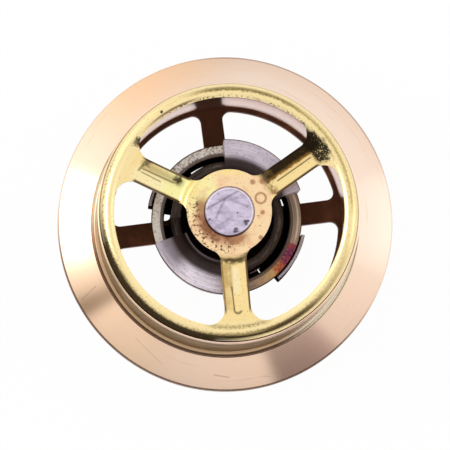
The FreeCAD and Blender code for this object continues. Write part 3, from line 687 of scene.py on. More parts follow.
@dataclass(frozen=True)
class PressedBrass:
    """Bright pressed brass: soft orange peel, dark specks, stains, and painted shade and highlights
    on the spokes, ribs and shoulder.

    The tables give places as radius and angle, then a size or width, then a share.
    """

    colour: Colour = (0.96, 0.77, 0.40)
    spoke: Colour = (0.97, 0.73, 0.325)
    warm: Colour = (0.98, 0.70, 0.42)
    highlight_yellow: Colour = (1.0, 0.95, 0.42)
    gold: Colour = (1.0, 0.80, 0.30)
    shine: Colour = (1.0, 0.90, 0.55)
    pale: Colour = (1.0, 0.90, 0.66)
    pink: Colour = (0.86, 0.48, 0.28)
    ridge: Colour = (0.86, 0.58, 0.22)
    crease_shade: Colour = (0.62, 0.42, 0.13)
    tan: Colour = (0.52, 0.33, 0.11)
    stain: Colour = (0.36, 0.14, 0.065)
    deep_stain: Colour = (0.20, 0.07, 0.035)
    speck: Colour = (0.17, 0.075, 0.026)
    cut: Colour = (0.08, 0.034, 0.01)
    slit: Colour = (0.07, 0.028, 0.01)
    brown: Colour = (0.27, 0.13, 0.02)
    worn: Colour = (0.22, 0.13, 0.03)
    # Painted shade: the next colour darkens the upper spoke where it falls from the hub.
    smear: Colour = (0.15, 0.095, 0.04)
    # The next colour is the near-black brown that darkens the upper spoke's upper half and the
    # smudges.
    film: Colour = (0.016, 0.009, 0.004)
    root_black: Colour = (0.014, 0.010, 0.005)
    # Painted dark reflection: the next colour is the near black of the shoulder's lower left.
    darkest_shade: Colour = (0.034, 0.020, 0.008)
    # Painted shade: the next colour is the olive-brown of shaded creases, rib sides and the
    # shoulder.
    olive_shade: Colour = (0.085, 0.052, 0.013)
    grain: Colour = (0.45, 0.33, 0.11)
    # Painted shade: the next colour darkens the shoulder's bead.
    bead_shade: Colour = (0.34, 0.24, 0.06)
    ring_foot_shade: Colour = (0.20, 0.14, 0.03)
    shade: Colour = (0.20, 0.13, 0.03)
    olive: Colour = (0.13, 0.085, 0.02)
    upper_spoke: float = 35.0
    left_spoke: float = 155.0
    lower_spoke: float = 275.0
    dots: tuple[tuple[float, float, float], ...] = (
        (6.35, 359.0, 0.62), (7.75, 320.5, 0.62), (7.2, 52.0, 0.75), (11.6, 22.0, 0.5),
        (8.6, 43.0, 0.9), (9.2, 25.0, 0.7), (5.6, 352.0, 0.24), (6.4, 335.0, 0.22),
    )
    smudges: tuple[tuple[float, float, float, float], ...] = (
        (11.5, 148.5, 1.25, 0.95), (18.3, 149.0, 1.15, 0.72), (21.9, 50.0, 0.8, 0.8),
        (21.8, 142.5, 1.35, 0.92), (23.05, 124.3, 0.42, 0.98),
    )
    cut_edges: tuple[Stroke, ...] = (
        ((9.8, 168.6), (19.0, 162.0), 0.5, 0.95),
        ((9.8, 21.4), (19.0, 28.0), 0.4, 0.7),
    )
    # Painted shade along the ribs' sides and at their tips.
    rib_shade_lines: tuple[Stroke, ...] = (
        ((10.6, 271.2), (15.0, 272.0), 0.5, 0.3),
        ((14.4, 271.9), (18.9, 273.0), 0.26, 0.9),
        ((11.0, 149.5), (18.2, 151.0), 1.5, 0.42),
        ((12.0, 152.5), (18.4, 153.6), 0.28, 0.75),
        ((14.4, 156.4), (18.4, 155.7), 0.26, 0.62),
        ((18.7, 151.6), (19.0, 155.2), 0.46, 0.7),
        ((11.0, 33.0), (18.7, 33.9), 0.24, 0.9),
    )

    def build(self) -> bpy.types.Material:
        """Make the material."""
        g = Graph("pressed_brass")
        peel = g.noise(1500.0, 4.0, 0.6)
        cloud = g.noise(160.0, 3.0, 0.5)
        marks = g.noise(1.0, 4.0, 0.6, g.polar(1.2, 6.0, 6.0))
        colour = g.lay(self.colour, self.spoke, g.band(g.radius, 8.6, 9.8, 20.2, 22.2), 0.8)
        colour = g.lay(colour, self.warm, g.step(g.radius, 9.0, 8.5), 0.85)
        # Painted highlight: the left spoke and the hub's left side are painted a brighter yellow.
        left = g.times(g.toward(150.0, 18.0, 28.0), g.step(g.radius, 19.0, 10.0))
        colour = g.lay(colour, self.highlight_yellow, left, 0.8)
        # Painted shade in the crease where the hub falls to the spokes, deepest toward the left
        # spoke.
        crease_shade = g.blend(g.toward(self.left_spoke, 30.0), 0.45, 0.75)
        colour = g.lay(colour, self.crease_shade, g.bump_at(g.radius, 9.0, 1.2), crease_shade)
        for layer in (
            self.soil_hub, self.darken_spokes, self.mark_spokes, self.darken_shoulder, self.speckle,
        ):
            colour = layer(g, colour)
        height = g.plus(g.times(peel, 0.6), g.times(marks, 0.5))
        rough = g.blend(cloud, 0.13, 0.27)
        return g.metal(colour, 1.0, Roughness=rough, Normal=g.bump(height, 0.25, 0.04))

    def soil_hub(self, g: Graph, colour: Socket) -> Socket:
        """Lay the brown patch by the rod's end, the ring-shaped stain and small round ones."""
        reach = g.plus(g.radius, g.times(g.noise(700.0, 4.0, 0.65), 2.6))
        patch = g.times(g.toward(230.0, 62.0, 30.0), g.step(reach, 8.7, 6.9))
        colour = g.lay(colour, self.stain, patch, 0.85)
        deep = g.times(g.toward(234.0, 28.0, 26.0), g.step(reach, 8.0, 6.7))
        colour = g.lay(colour, self.deep_stain, deep, 0.75)
        pink = g.times(g.step(g.noise(380.0, 3.0, 0.6), 0.46, 0.66), g.step(g.radius, 9.0, 8.0))
        colour = g.lay(colour, self.pink, pink, 0.45)
        colour = g.lay(colour, self.stain, g.bump_at(g.spot(6.5, 23.5), 0.98, 0.40), 0.78)
        for radius, angle, size in self.dots:
            dot = g.step(g.spot(radius, angle), size, size * 0.35)
            colour = g.lay(colour, self.stain, dot, 0.75)
        return colour

    def spoke_axes(self, g: Graph) -> tuple[Socket, Socket]:
        """Return how far along and how far off its nearest spoke's middle a point lies."""
        turn = g.math("WRAP", g.minus(g.angle, self.upper_spoke), 60.0, -60.0)
        turn = g.times(turn, math.pi / 180)
        return g.times(g.radius, g.math("COSINE", turn)), g.times(g.radius, g.math("SINE", turn))

    def darken_spokes(self, g: Graph, colour: Socket) -> Socket:
        """Darken the spokes' cut edges, the upper half of the upper spoke from brown to near black
        and its root at the ring, and paint shade at its hub end.
        """
        along, off = self.spoke_axes(g)
        ragged = g.minus(g.noise(1100.0, 4.0, 0.7), 0.5)
        cut = g.step(g.math("ABSOLUTE", off), 2.04, 2.26)
        colour = g.lay(colour, self.cut, cut, g.band(g.radius, 9.0, 10.0, 18.5, 20.0), 0.93)
        here = g.toward(self.upper_spoke, 40.0)
        # The upper spoke's upper half turns from brown by the rib to near black at its edge, with
        # lighter patches.
        place = g.plus(off, ragged)
        half = g.times(g.step(place, 0.05, 0.45), g.step(g.plus(along, ragged), 8.2, 9.6))
        half = g.times(half, here, g.step(g.radius, 22.4, 21.2))
        worn = g.times(g.step(g.noise(500.0, 4.0, 0.7), 0.50, 0.68), g.step(along, 16.0, 9.0))
        brown = g.mix(g.step(place, 0.2, 1.1), self.brown, self.film)
        brown = g.lay(brown, self.worn, worn, 0.6)
        colour = g.lay(colour, brown, half, 0.99)
        # The upper spoke's root at the ring is near black, broken by brass specks.
        root = g.times(g.toward(37.5, 3.0, 12.0), g.bump_at(g.radius, 20.7, 3.3))
        root = g.step(g.plus(root, g.times(ragged, 0.9)), 0.22, 0.60)
        glints = g.step(g.noise(3600.0, 2.0, 0.5), 0.56, 0.66)
        root = g.times(root, g.blend(glints, 1.0, 0.35))
        root = g.times(root, g.math("MAXIMUM", g.step(along, 18.6, 19.6), half))
        colour = g.lay(colour, self.root_black, root, 0.98)
        # Painted shade where the upper spoke falls from the hub.
        end = g.times(g.bump_at(along, 9.3, 1.5), g.step(ragged, -0.10, 0.06))
        end = g.times(end, here, g.toward(self.upper_spoke, 12.0, 3.0))
        return g.lay(colour, self.smear, end, 0.72)

    def mark_spokes(self, g: Graph, colour: Socket) -> Socket:
        """Lay smudges, the hub's gold arc, and painted highlights and shade on the spokes and their
        ribs.
        """
        off = self.spoke_axes(g)[1]
        ragged = g.minus(g.noise(1100.0, 4.0, 0.7), 0.5)
        cloud = g.step(g.noise(420.0, 3.0, 0.6), 0.38, 0.62)
        # Painted highlight along the middle of the left spoke.
        middle = g.step(g.math("ABSOLUTE", g.minus(g.radius, 16.6)), 4.4, 2.4)
        colour = g.lay(colour, self.shine, g.toward(161.0, 5.0, 5.0), middle, 0.5)
        colour = g.scratch(colour, self.slit, self.cut_edges)
        for radius, angle, size, share in self.smudges:
            gap = g.plus(g.spot(radius, angle), g.times(ragged, size * 1.8))
            colour = g.lay(colour, self.film, g.step(gap, size, size * 0.3), share)
        # Painted shade, mottled, where the lower spoke falls from the hub.
        hub_fall_shade = g.times(g.bump_at(g.radius, 9.5, 1.1), g.toward(self.lower_spoke, 8.0, 10.0))
        hub_fall_shade = g.times(hub_fall_shade, g.step(g.plus(ragged, g.times(hub_fall_shade, 0.2)), -0.02, 0.2))
        colour = g.lay(colour, self.olive_shade, hub_fall_shade, 0.9)
        # Painted shade at the foot of the lower spoke's rib tip.
        foot = g.times(g.bump_at(g.spot(18.85, 275.0), 0.62, 0.42), g.step(g.radius, 18.8, 19.2))
        colour = g.lay(colour, self.olive_shade, foot, 0.8)
        # Painted shade on one half of the lower spoke, mottled.
        tan = g.times(g.step(off, -0.45, -0.85), g.toward(self.lower_spoke, 14.0, 6.0))
        tan = g.times(tan, g.band(g.radius, 9.2, 10.4, 17.6, 19.6))
        colour = g.lay(colour, self.tan, tan, g.blend(cloud, 0.25, 0.75))
        # Painted highlight along the lower spoke's rib.
        colour = g.lay(colour, self.pale, g.stroke((11.2, 275.6), (15.0, 275.4), 1.1), 0.45)
        # Painted shade along the ribs' sides and at their tips.
        colour = g.scratch(colour, self.olive_shade, self.rib_shade_lines)
        arc = g.times(g.toward(118.0, 34.0, 22.0), g.band(g.radius, 6.4, 7.6, 8.5, 9.0))
        colour = g.lay(colour, self.gold, arc, g.blend(cloud, 0.2, 0.75))
        # Painted highlight along the upper spoke's rib ridge.
        return g.lay(colour, self.ridge, g.stroke((12.8, 35.2), (18.9, 35.2), 0.28), 0.75)

    def darken_shoulder(self, g: Graph, colour: Socket) -> Socket:
        """Darken the rim's shoulder with mottled painted shade and dark reflection, darkest at the
        lower left.
        """
        mottle = g.noise(2600.0, 4.0, 0.7)
        place = g.plus(g.radius, g.times(g.minus(mottle, 0.5), 1.1))
        # Painted shade across the bead, strongest at the upper right.
        share = g.math("MAXIMUM", g.times(g.toward(54.0, 46.0, 16.0), 0.74), 0.14)
        colour = g.lay(colour, self.bead_shade, g.bump_at(place, 23.5, 0.52), share)
        soft = g.times(g.bump_at(place, 23.7, 0.8), g.toward(300.0, 30.0, 24.0))
        colour = g.lay(colour, self.shade, soft, 0.38)
        # Painted shade on the brim at the left, low on the lower side and along the seam at the
        # upper right.
        brim = g.times(g.bump_at(place, 24.2, 0.35), g.toward(175.0, 13.0, 16.0))
        colour = g.lay(colour, self.olive_shade, brim, g.step(mottle, 0.44, 0.60), 0.55)
        olive = g.times(g.bump_at(place, 23.8, 0.85), g.toward(286.0, 16.0, 24.0))
        colour = g.lay(colour, self.olive, olive, 0.72)
        seam = g.times(g.bump_at(place, 23.6, 0.5), g.toward(80.0, 15.0, 14.0))
        colour = g.lay(colour, self.olive_shade, seam, g.blend(g.step(mottle, 0.42, 0.6), 0.2, 0.95))
        grain = g.times(g.step(mottle, 0.55, 0.66), g.step(g.radius, 22.8, 23.3))
        colour = g.lay(colour, self.grain, grain, 0.4)
        # Painted shade as a dotted line at the bead's foot.
        dots = g.times(g.bump_at(g.radius, 22.2, 0.35), g.toward(88.0, 34.0, 12.0))
        grit = g.step(g.noise(2300.0, 3.0, 0.6), 0.52, 0.60)
        colour = g.lay(colour, self.olive_shade, dots, grit)
        # Painted dark reflection: the shoulder is near black at the lower left.
        aside = g.math("WRAP", g.minus(g.angle, -135.0), 180.0, -180.0)
        place = g.plus(place, g.times(g.math("ABSOLUTE", aside), -0.005))
        place = g.plus(place, g.times(g.minus(g.toward(236.0, 36.0, 40.0), 1.0), 0.9))
        core = g.times(g.step(place, 23.15, 23.95), g.toward(229.0, 31.0, 31.0))
        return g.lay(colour, self.darkest_shade, core, 0.985)

    def speckle(self, g: Graph, colour: Socket) -> Socket:
        """Scatter dark specks dense by the hub's stain, and paint speckled shade along the rim's
        step by the lower spoke.
        """
        dots = g.step(g.noise(1700.0, 3.0, 0.62), 0.550, 0.590)
        crowd = g.times(g.toward(218.0, 42.0, 34.0), g.bump_at(g.radius, 6.9, 2.3))
        here = g.step(g.times(crowd, g.noise(420.0, 3.0, 0.6)), 0.14, 0.36)
        fine = g.times(g.step(g.noise(3600.0, 2.0, 0.5), 0.672, 0.70), 0.8)
        colour = g.mix(g.math("MAXIMUM", g.times(dots, here), fine), colour, self.speck)
        # Painted shade, speckled, at the ring's foot by the lower spoke.
        ring_foot_shade = g.times(g.bump_at(g.radius, 22.1, 0.7), g.toward(self.lower_spoke, 11.0, 8.0))
        specks = g.blend(g.step(g.noise(2800.0, 3.0, 0.7), 0.46, 0.58), 0.3, 0.85)
        return g.lay(colour, self.ring_foot_shade, ring_foot_shade, specks)


@dataclass(frozen=True)
class BrushedSteel:
    """Lilac-grey steel with circular brush marks and painted shade deep in the element.

    inner is the radius where the wings' curl falls into painted shade, outer the radius of a rim
    painted dark as shade, and glint adds a painted highlight on the clip's inner edge.
    """

    name: str = "brushed_steel"
    colour: Colour = (0.66, 0.575, 0.655)
    dark: Colour = (0.30, 0.24, 0.26)
    polish: Colour = (1.0, 0.89, 0.97)
    roughness: float = 0.30
    inner: float = 0.0
    outer: float = 99.0
    glint: bool = False
    low: Colour = (0.12, 0.095, 0.10)
    shade: Colour = (0.042, 0.022, 0.015)
    rim: Colour = (0.010, 0.006, 0.005)
    deep: Colour = (0.014, 0.008, 0.006)
    bright_edge: Colour = (1.0, 0.62, 0.58)

    def build(self) -> bpy.types.Material:
        """Make the material."""
        g = Graph(self.name)
        brush = g.noise(1.0, 6.0, 0.7, g.polar(2.2, 7.0, 7.0))
        cloud = g.noise(250.0, 4.0, 0.6)
        colour = g.lay(self.colour, self.dark, g.step(brush, 0.52, 0.36), g.blend(cloud, 0.2, 0.9))
        bright = g.times(g.step(brush, 0.50, 0.66), 0.6)
        # Painted highlight: brush streaks on the lower-left wing are painted brighter.
        lit = g.times(g.toward(253.0, 14.0, 26.0), g.blend(g.step(brush, 0.42, 0.58), 0.25, 0.95))
        colour = g.mix(g.math("MAXIMUM", bright, lit), colour, self.polish)
        colour = g.lay(colour, self.dark, g.step(g.noise(1500.0, 4.0, 0.75), 0.53, 0.62), 0.35)
        if self.inner:
            # Painted shade on the wings' lower left and in their curl, with a paler painted line at
            # the curl's edge.
            low = g.times(g.toward(203.0, 14.0, 18.0), g.step(g.radius, 15.4, 12.4))
            colour = g.lay(colour, self.low, low, 0.75)
            colour = g.lay(colour, self.shade, g.step(g.radius, self.inner + 1.4, self.inner), 0.92)
            colour = g.lay(colour, self.dark, g.step(g.radius, 8.85, 8.7), 0.5)
        # Painted shade: the outer rim and everything deep in the element are near black.
        colour = g.lay(colour, self.rim, g.step(g.radius, self.outer, self.outer + 0.06), 0.99)
        colour = g.lay(colour, self.deep, g.step(g.level, 41.0, 37.0), 0.985)
        # Painted highlight on the clip's inner edge.
        if self.glint:
            colour = g.mix(g.stroke((10.85, 297.0), (11.0, 307.0), 0.34), colour, self.bright_edge)
        return g.metal(
            colour,
            1.0,
            Roughness=g.blend(brush, self.roughness - 0.06, self.roughness + 0.14),
            Anisotropic=0.55,
            Tangent=g.across_marks(),
            Normal=g.bump(brush, 0.25, 0.035),
        )


@dataclass(frozen=True)
class CageSteel:
    """The cage's steel: speckled on the left, smooth brown on the right, heat-tinted below."""

    base: Colour = (0.52, 0.37, 0.26)
    brown: Colour = (0.24, 0.155, 0.11)
    light: Colour = (1.0, 0.88, 0.78)
    fleck: Colour = (1.0, 0.95, 0.92)
    pale: Colour = (1.0, 0.93, 0.84)
    worn: Colour = (0.30, 0.22, 0.17)
    line: Colour = (0.80, 0.68, 0.58)
    straw: Colour = (0.62, 0.40, 0.26)
    dark: Colour = (0.13, 0.085, 0.065)
    slope: Colour = (0.14, 0.095, 0.075)
    inside: Colour = (0.014, 0.008, 0.006)
    heat: tuple[tuple[float, Colour], ...] = (
        (0.00, (0.46, 0.30, 0.17)), (0.30, (0.62, 0.36, 0.14)), (0.44, (0.46, 0.11, 0.03)),
        (0.56, (0.34, 0.035, 0.045)), (0.68, (0.17, 0.02, 0.12)), (0.82, (0.28, 0.03, 0.09)),
        (1.00, (0.36, 0.08, 0.04)),
    )

    def build(self) -> bpy.types.Material:
        """Make the material."""
        g = Graph("cage_steel")
        grit = g.noise(2300.0, 4.0, 0.8)
        rings = g.noise(1.0, 5.0, 0.6, g.polar(1.5, 8.0, 8.0))
        speckled = g.mix(g.step(grit, 0.42, 0.54), self.dark, self.light)
        speckled = g.lay(speckled, self.worn, g.step(g.noise(650.0, 3.0, 0.6), 0.40, 0.62), 0.35)
        speckled = g.lay(speckled, self.fleck, g.step(g.noise(1900.0, 3.0, 0.8), 0.50, 0.58), 0.85)
        pale = g.times(g.toward(184.0, 16.0, 16.0), g.step(grit, 0.36, 0.44))
        speckled = g.lay(speckled, self.pale, pale, 0.8)
        left = g.times(g.toward(150.0, 60.0, 22.0), 0.9)
        colour = g.mix(left, g.mix(g.step(rings, 0.4, 0.65), self.brown, self.base), speckled)
        line = g.times(g.bump_at(g.radius, 13.9, 0.3), g.toward(10.0, 22.0, 8.0))
        colour = g.lay(colour, self.line, line, 0.7)
        tinted = g.times(g.toward(-41.0, 21.5, 6.0), g.step(g.angle, -19.4, -20.2))
        colour = g.lay(colour, self.tint(g, grit), tinted, 0.97)
        colour = g.lay(colour, self.slope, g.step(g.radius, 13.1, 12.9), 0.9)
        # Painted shade: the bore, the lower faces and the outer wall are near black.
        edge = g.math("MAXIMUM", g.step(g.radius, 12.6, 12.25), g.step(g.level, 40.35, 40.0))
        edge = g.math("MAXIMUM", edge, g.step(g.radius, 14.45, 14.6))
        colour = g.lay(colour, self.inside, edge, 0.98)
        bump = g.bump(g.blend(left, rings, grit), 0.35, 0.04)
        return g.metal(colour, 0.9, Roughness=g.blend(grit, 0.28, 0.50), Normal=bump)

    def tint(self, g: Graph, grit: Socket) -> Socket:
        """Return the heat tint's colours, which run from straw to violet along the rim."""
        place = g.math("DIVIDE", g.plus(g.angle, 62.0), 46.0)
        wander = g.times(g.minus(g.noise(700.0, 4.0, 0.75), 0.5), 0.9)
        heat = g.ramp(g.plus(place, wander), self.heat)
        return g.lay(heat, self.straw, g.step(grit, 0.52, 0.64), 0.5)


@dataclass(frozen=True)
class RivetSteel:
    """The rod's end: grey steel smeared, scratched and pitted by the riveting tool."""

    smeared: Colour = (0.34, 0.30, 0.38)
    colour: Colour = (0.66, 0.57, 0.72)
    bright: Colour = (0.84, 0.78, 0.88)
    edge: Colour = (0.98, 0.86, 0.90)
    cut: Colour = (0.12, 0.105, 0.15)
    pit: Colour = (0.06, 0.055, 0.065)
    rim: Colour = (0.10, 0.06, 0.07)
    drag: float = -35.0
    scratches: tuple[Stroke, ...] = (
        ((4.4, 174.0), (4.3, 66.0), 0.42, 0.9),
        ((2.4, 112.0), (2.9, 206.0), 0.44, 0.7),
        ((4.2, 231.0), (1.2, 292.0), 0.6, 0.45),
        ((2.2, 79.0), (3.6, 14.0), 0.4, 0.5),
        ((3.9, 240.0), (2.4, 262.0), 0.5, 0.4),
    )
    pits: tuple[tuple[float, float, float], ...] = (
        (3.75, 330.0, 0.85), (3.95, 289.0, 0.66), (1.55, 350.0, 0.2), (4.2, 202.0, 0.42),
        (3.9, 123.0, 0.22),
    )

    def build(self) -> bpy.types.Material:
        """Make the material."""
        g = Graph("rivet_steel")
        drag = g.add("ShaderNodeMapping", {"Vector": g.point})
        drag.inputs["Rotation"].default_value = (0.0, 0.0, math.radians(self.drag))
        drag.inputs["Scale"].default_value = (1.0, 2.4, 1.0)
        smear = g.noise(330.0, 6.0, 0.68, drag.outputs[0])
        scratch = g.noise(1100.0, 3.0, 0.5, drag.outputs[0])
        colour = g.mix(g.step(smear, 0.30, 0.60), self.smeared, self.colour)
        colour = g.lay(colour, self.bright, g.step(scratch, 0.58, 0.68), 0.35)
        chatter = g.times(g.step(g.noise(1300.0, 4.0, 0.7), 0.38, 0.55), 0.8)
        colour = g.scratch(colour, self.cut, self.scratches, g.math("MAXIMUM", chatter, 0.55))
        ragged = g.minus(g.noise(1700.0, 3.0, 0.6), 0.5)
        for radius, angle, size in self.pits:
            away = g.plus(g.spot(radius, angle), g.times(ragged, size * 2.2))
            colour = g.lay(colour, self.pit, g.step(away, size * 0.85, size * 0.4), 0.9)
        # Painted highlight on the end's edge away from the lower left, and a painted shadow in the
        # dark ring round it, deepest at the lower left.
        shaded = g.toward(245.0, 50.0, 40.0)
        edge = g.times(g.bump_at(g.radius, 4.38, 0.22), g.minus(1.0, shaded))
        colour = g.lay(colour, self.edge, edge, 0.7)
        colour = g.lay(colour, self.rim, g.step(g.radius, 4.42, 4.66), g.blend(shaded, 0.5, 0.95))
        return g.surface(
            Base_Color=colour,
            Metallic=0.85,
            Roughness=g.blend(smear, 0.30, 0.46),
            Normal=g.bump(g.plus(smear, g.times(scratch, 0.5)), 0.35, 0.05),
        )


@dataclass(frozen=True)
class DrawnCopper:
    """The wax capsule's drawn cup, dulled, with draw marks along the axis."""

    colour: Colour = (0.80, 0.42, 0.27)
    dull: Colour = (0.42, 0.20, 0.12)

    def build(self) -> bpy.types.Material:
        """Make the material."""
        g = Graph("drawn_copper")
        marks = g.noise(1.0, 5.0, 0.6, g.polar(22.0, 0.0, 0.08))
        cloud = g.noise(110.0, 4.0, 0.6)
        return g.surface(
            Base_Color=g.mix(g.step(cloud, 0.42, 0.75), self.colour, self.dull),
            Metallic=1.0,
            Roughness=g.blend(marks, 0.26, 0.46),
            Normal=g.bump(marks, 0.15, 0.03),
        )


@dataclass(frozen=True)
class SoftFill:
    """A hidden filling such as wax or rubber."""

    name: str
    colour: Colour
    dark: Colour
    roughness: float

    def build(self) -> bpy.types.Material:
        """Make the material."""
        g = Graph(self.name)
        grain = g.noise(600.0, 4.0, 0.6)
        return g.surface(
            Base_Color=g.mix(grain, self.colour, self.dark),
            Roughness=g.blend(grain, self.roughness - 0.08, self.roughness + 0.08),
            Normal=g.bump(grain, 0.2, 0.05),
        )


def dress(piece: bpy.types.Object, body: Body, metal: Metal, finish: object, *nodes: str) -> None:
    """Finish a new piece and let it stand for its CAD nodes.

    Args:
        piece: the new object.
        body: the body that it rides on.
        metal: the record's slot; not used.
        finish: the finish to build.
        nodes: the CAD nodes that it replaces.
    """
    piece.data.materials.clear()
    piece.data.materials.append(finish.build())
    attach(piece, body.value)
    if nodes:
        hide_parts(*nodes)
    log.info("%s: %d vertices on %s", piece.name, len(piece.data.vertices), body.value)


def paint_node(node: str, finish: object) -> None:
    """Give a CAD node that stays its finish."""
    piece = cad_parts[node]
    material = finish.build()
    piece.data.materials.clear()
    piece.data.materials.append(material)
    for face in piece.data.polygons:
        face.material_index = 0
    log.info("%s: painted", node)


# Sub-assemblies


@dataclass
class SeatSleeve:
    """The turned sleeve with its seat flange."""

    flange_radius: float = 33.0
    flange_under: float = 26.5
    flange_top: float = 30.0
    sleeve_radius: float = 25.2
    sleeve_top: float = 58.0
    bore: float = 23.15
    mouth: float = 24.75
    mouth_floor: float = 48.0
    web_bore: float = 24.15
    web_top: float = 29.0
    foot: float = 25.9
    relief: float = 26.4
    relief_floor: float = 29.4
    foot_top: float = 30.6

    def build(self) -> None:
        """Turn the sleeve and finish it."""
        outline = [
            (self.web_bore, self.flange_under),
            (self.flange_radius, self.flange_under),
            (self.flange_radius, self.flange_top),
            (self.relief, self.flange_top),
            (self.relief, self.relief_floor),
            (self.foot, self.relief_floor),
            (self.foot, self.foot_top),
            (self.sleeve_radius, self.foot_top),
            (self.sleeve_radius, self.sleeve_top),
            (self.mouth, self.sleeve_top),
            (self.mouth, self.mouth_floor),
            (self.bore, self.mouth_floor),
            (self.bore, self.web_top),
            (self.web_bore, self.web_top),
        ]
        rounds = {1: 0.35, 2: 0.35, 3: 0.08, 6: 0.22, 7: 0.15, 8: 0.28, 9: 0.1, 11: 0.15}
        shell = Shell()
        shell.turn(softened(outline, rounds), steps=360)
        piece = shell.done("seat_sleeve")
        dress(piece, Body.SLEEVE, Metal.BRONZE, TurnedBronze(), "valve_sleeve")


@dataclass
class WebPlate:
    """The four-armed web at the sleeve's foot."""

    hole: float = 9.25
    rim: float = 24.1
    top: float = 29.0
    thickness: float = 2.5
    plan: Spokes = field(default_factory=lambda: Spokes(10.95, 22.4, 4.3, 4, 7.4, 0.9, 1.6))

    def build(self) -> None:
        """Cut the web and finish it."""
        shell = Shell()
        beyond = [(self.rim, self.top)]
        self.plan.cover(shell, self.hole, beyond, lambda along, off: self.top, 4, 24)
        piece = shell.done("web")
        thicken(piece, self.thickness, 0.18)
        dress(piece, Body.SLEEVE, Metal.DARK_BRONZE, DarkWebBronze(), "web_plate")


@dataclass
class WaxCapsule:
    """The wax capsule below the web with its snap ring and hidden filling."""

    radius: float = 9.2
    wall: float = 1.0
    lip: float = 10.5
    lip_base: float = 29.05
    lip_top: float = 30.25

    def build(self) -> None:
        """Draw the cup and finish the capsule's pieces."""
        inner = self.radius - self.wall
        outline = [
            (0.0, 0.0),
            (self.radius, 0.0),
            (self.radius, self.lip_base),
            (self.lip, self.lip_base),
            (self.lip, self.lip_top),
            (inner, self.lip_top),
            (inner, self.wall),
            (0.0, self.wall),
        ]
        shell = Shell()
        shell.turn(softened(outline, {1: 1.5, 3: 0.15, 4: 0.3, 6: 0.6}, 8), steps=180)
        piece = shell.done("capsule_cup")
        dress(piece, Body.SLEEVE, Metal.COPPER, DrawnCopper(), "wax_cup")
        paint_node("wax_charge", SoftFill("wax_fill", (0.62, 0.40, 0.24), (0.40, 0.22, 0.12), 0.55))
        rubber = SoftFill("capsule_rubber", (0.03, 0.03, 0.03), (0.05, 0.045, 0.04), 0.6)
        paint_node("rubber_plug", rubber)
        paint_node("rod_seal", rubber)
        steel = BrushedSteel("capsule_steel")
        paint_node("pressure_disc", steel)
        paint_node("cup_clip", steel)
        paint_node("guide_bush", PressedBrass())


@dataclass
class SpringCage:
    """The steel cage, its two curled wings and the clip whose ears stand against it."""

    bore: float = 12.2
    radius: float = 14.7
    base: float = 29.85
    rim: float = 40.7
    draft: float = 0.7
    wing_radius: float = 15.05
    wing_top: float = 48.2
    wing_under: float = 45.6
    wing_bore: float = 8.4
    wing_round: float = 2.5
    wing_angle: float = 72.5
    wing_turn: float = 56.65
    ears: tuple[tuple[float, float], ...] = ((-48.0, -11.0), (146.0, 169.0))
    ear_inner: float = 14.8
    ear_outer: float = 15.55
    ear_top: float = 40.2
    plate_bore: float = 12.1
    plate_radius: float = 13.9
    plate_base: float = 29.0
    plate_top: float = 29.8
    leg_bore: float = 10.65
    legs: tuple[tuple[float, float], ...] = (
        (-54.0, 13.0), (124.0, 171.0), (24.0, 111.0), (182.0, 304.9),
    )

    def build(self) -> None:
        """Make the cage, the wings and the clip."""
        shell = Shell()
        ring = [
            (self.bore, self.base),
            (self.radius - self.draft, self.base),
            (self.radius, self.rim),
            (self.bore, self.rim),
        ]
        shell.turn(softened(ring, {2: 0.3, 3: 0.2}), steps=240)
        piece = shell.done("cage_ring")
        dress(piece, Body.SLEEVE, Metal.STEEL, CageSteel(), "spring_cage")
        self.build_wings()
        self.build_clip()

    def build_wings(self) -> None:
        """Make the two wings that rise from the cage and curl in over the spring."""
        shell = Shell()
        outline = [
            (self.bore + 0.04, self.rim - 0.6),
            (self.radius - 0.05, self.rim - 0.6),
            (self.wing_radius - 0.3, self.rim + 0.02),
            (self.wing_radius, self.wing_top),
            (self.wing_bore + 1.0, self.wing_top),
            (self.wing_bore + 0.6, self.wing_under + 0.1),
            (self.wing_bore, self.wing_under + 0.1),
            (self.wing_bore, self.wing_under),
            (self.bore + 0.04, self.wing_under),
        ]
        rounds = {3: 0.25, 4: self.wing_round}
        for middle in (self.wing_turn, self.wing_turn + 180.0):
            span = (middle - self.wing_angle / 2, middle + self.wing_angle / 2)
            shell.turn(softened(outline, rounds, 8), span, 72)
        piece = shell.done("cage_wings")
        soften(piece, 0.15)
        dress(piece, Body.SLEEVE, Metal.STEEL, BrushedSteel("wing_steel", inner=11.0, outer=14.97))

    def build_clip(self) -> None:
        """Make the flat clip and its two ears."""
        shell = Shell()
        plate = [
            (self.plate_bore, self.plate_base),
            (self.plate_radius, self.plate_base),
            (self.plate_radius, self.plate_top),
            (self.plate_bore, self.plate_top),
        ]
        shell.turn(plate, steps=120)
        base, top = self.plate_base + 0.02, self.plate_top - 0.02
        foot, root = self.plate_bore + 0.2, self.plate_radius - 0.3
        leg = [(self.leg_bore, base), (foot, base), (foot, top), (self.leg_bore, top)]
        for span in self.legs:
            shell.turn(leg, span, 40)
        ear = [
            (root, base),
            (self.ear_outer, base),
            (self.ear_outer, self.ear_top),
            (self.ear_inner, self.ear_top),
            (self.ear_inner, top),
            (root, top),
        ]
        for span in self.ears:
            shell.turn(softened(ear, {1: 0.4, 2: 0.2, 3: 0.2}), span, 40)
        piece = shell.done("cage_clip_ears")
        soften(piece, 0.1)
        tones = (0.50, 0.43, 0.47), (0.18, 0.13, 0.12), (0.70, 0.63, 0.67)
        finish = BrushedSteel("ear_steel", *tones, outer=15.42, glint=True)
        dress(piece, Body.SLEEVE, Metal.STEEL, finish, "cage_clip")


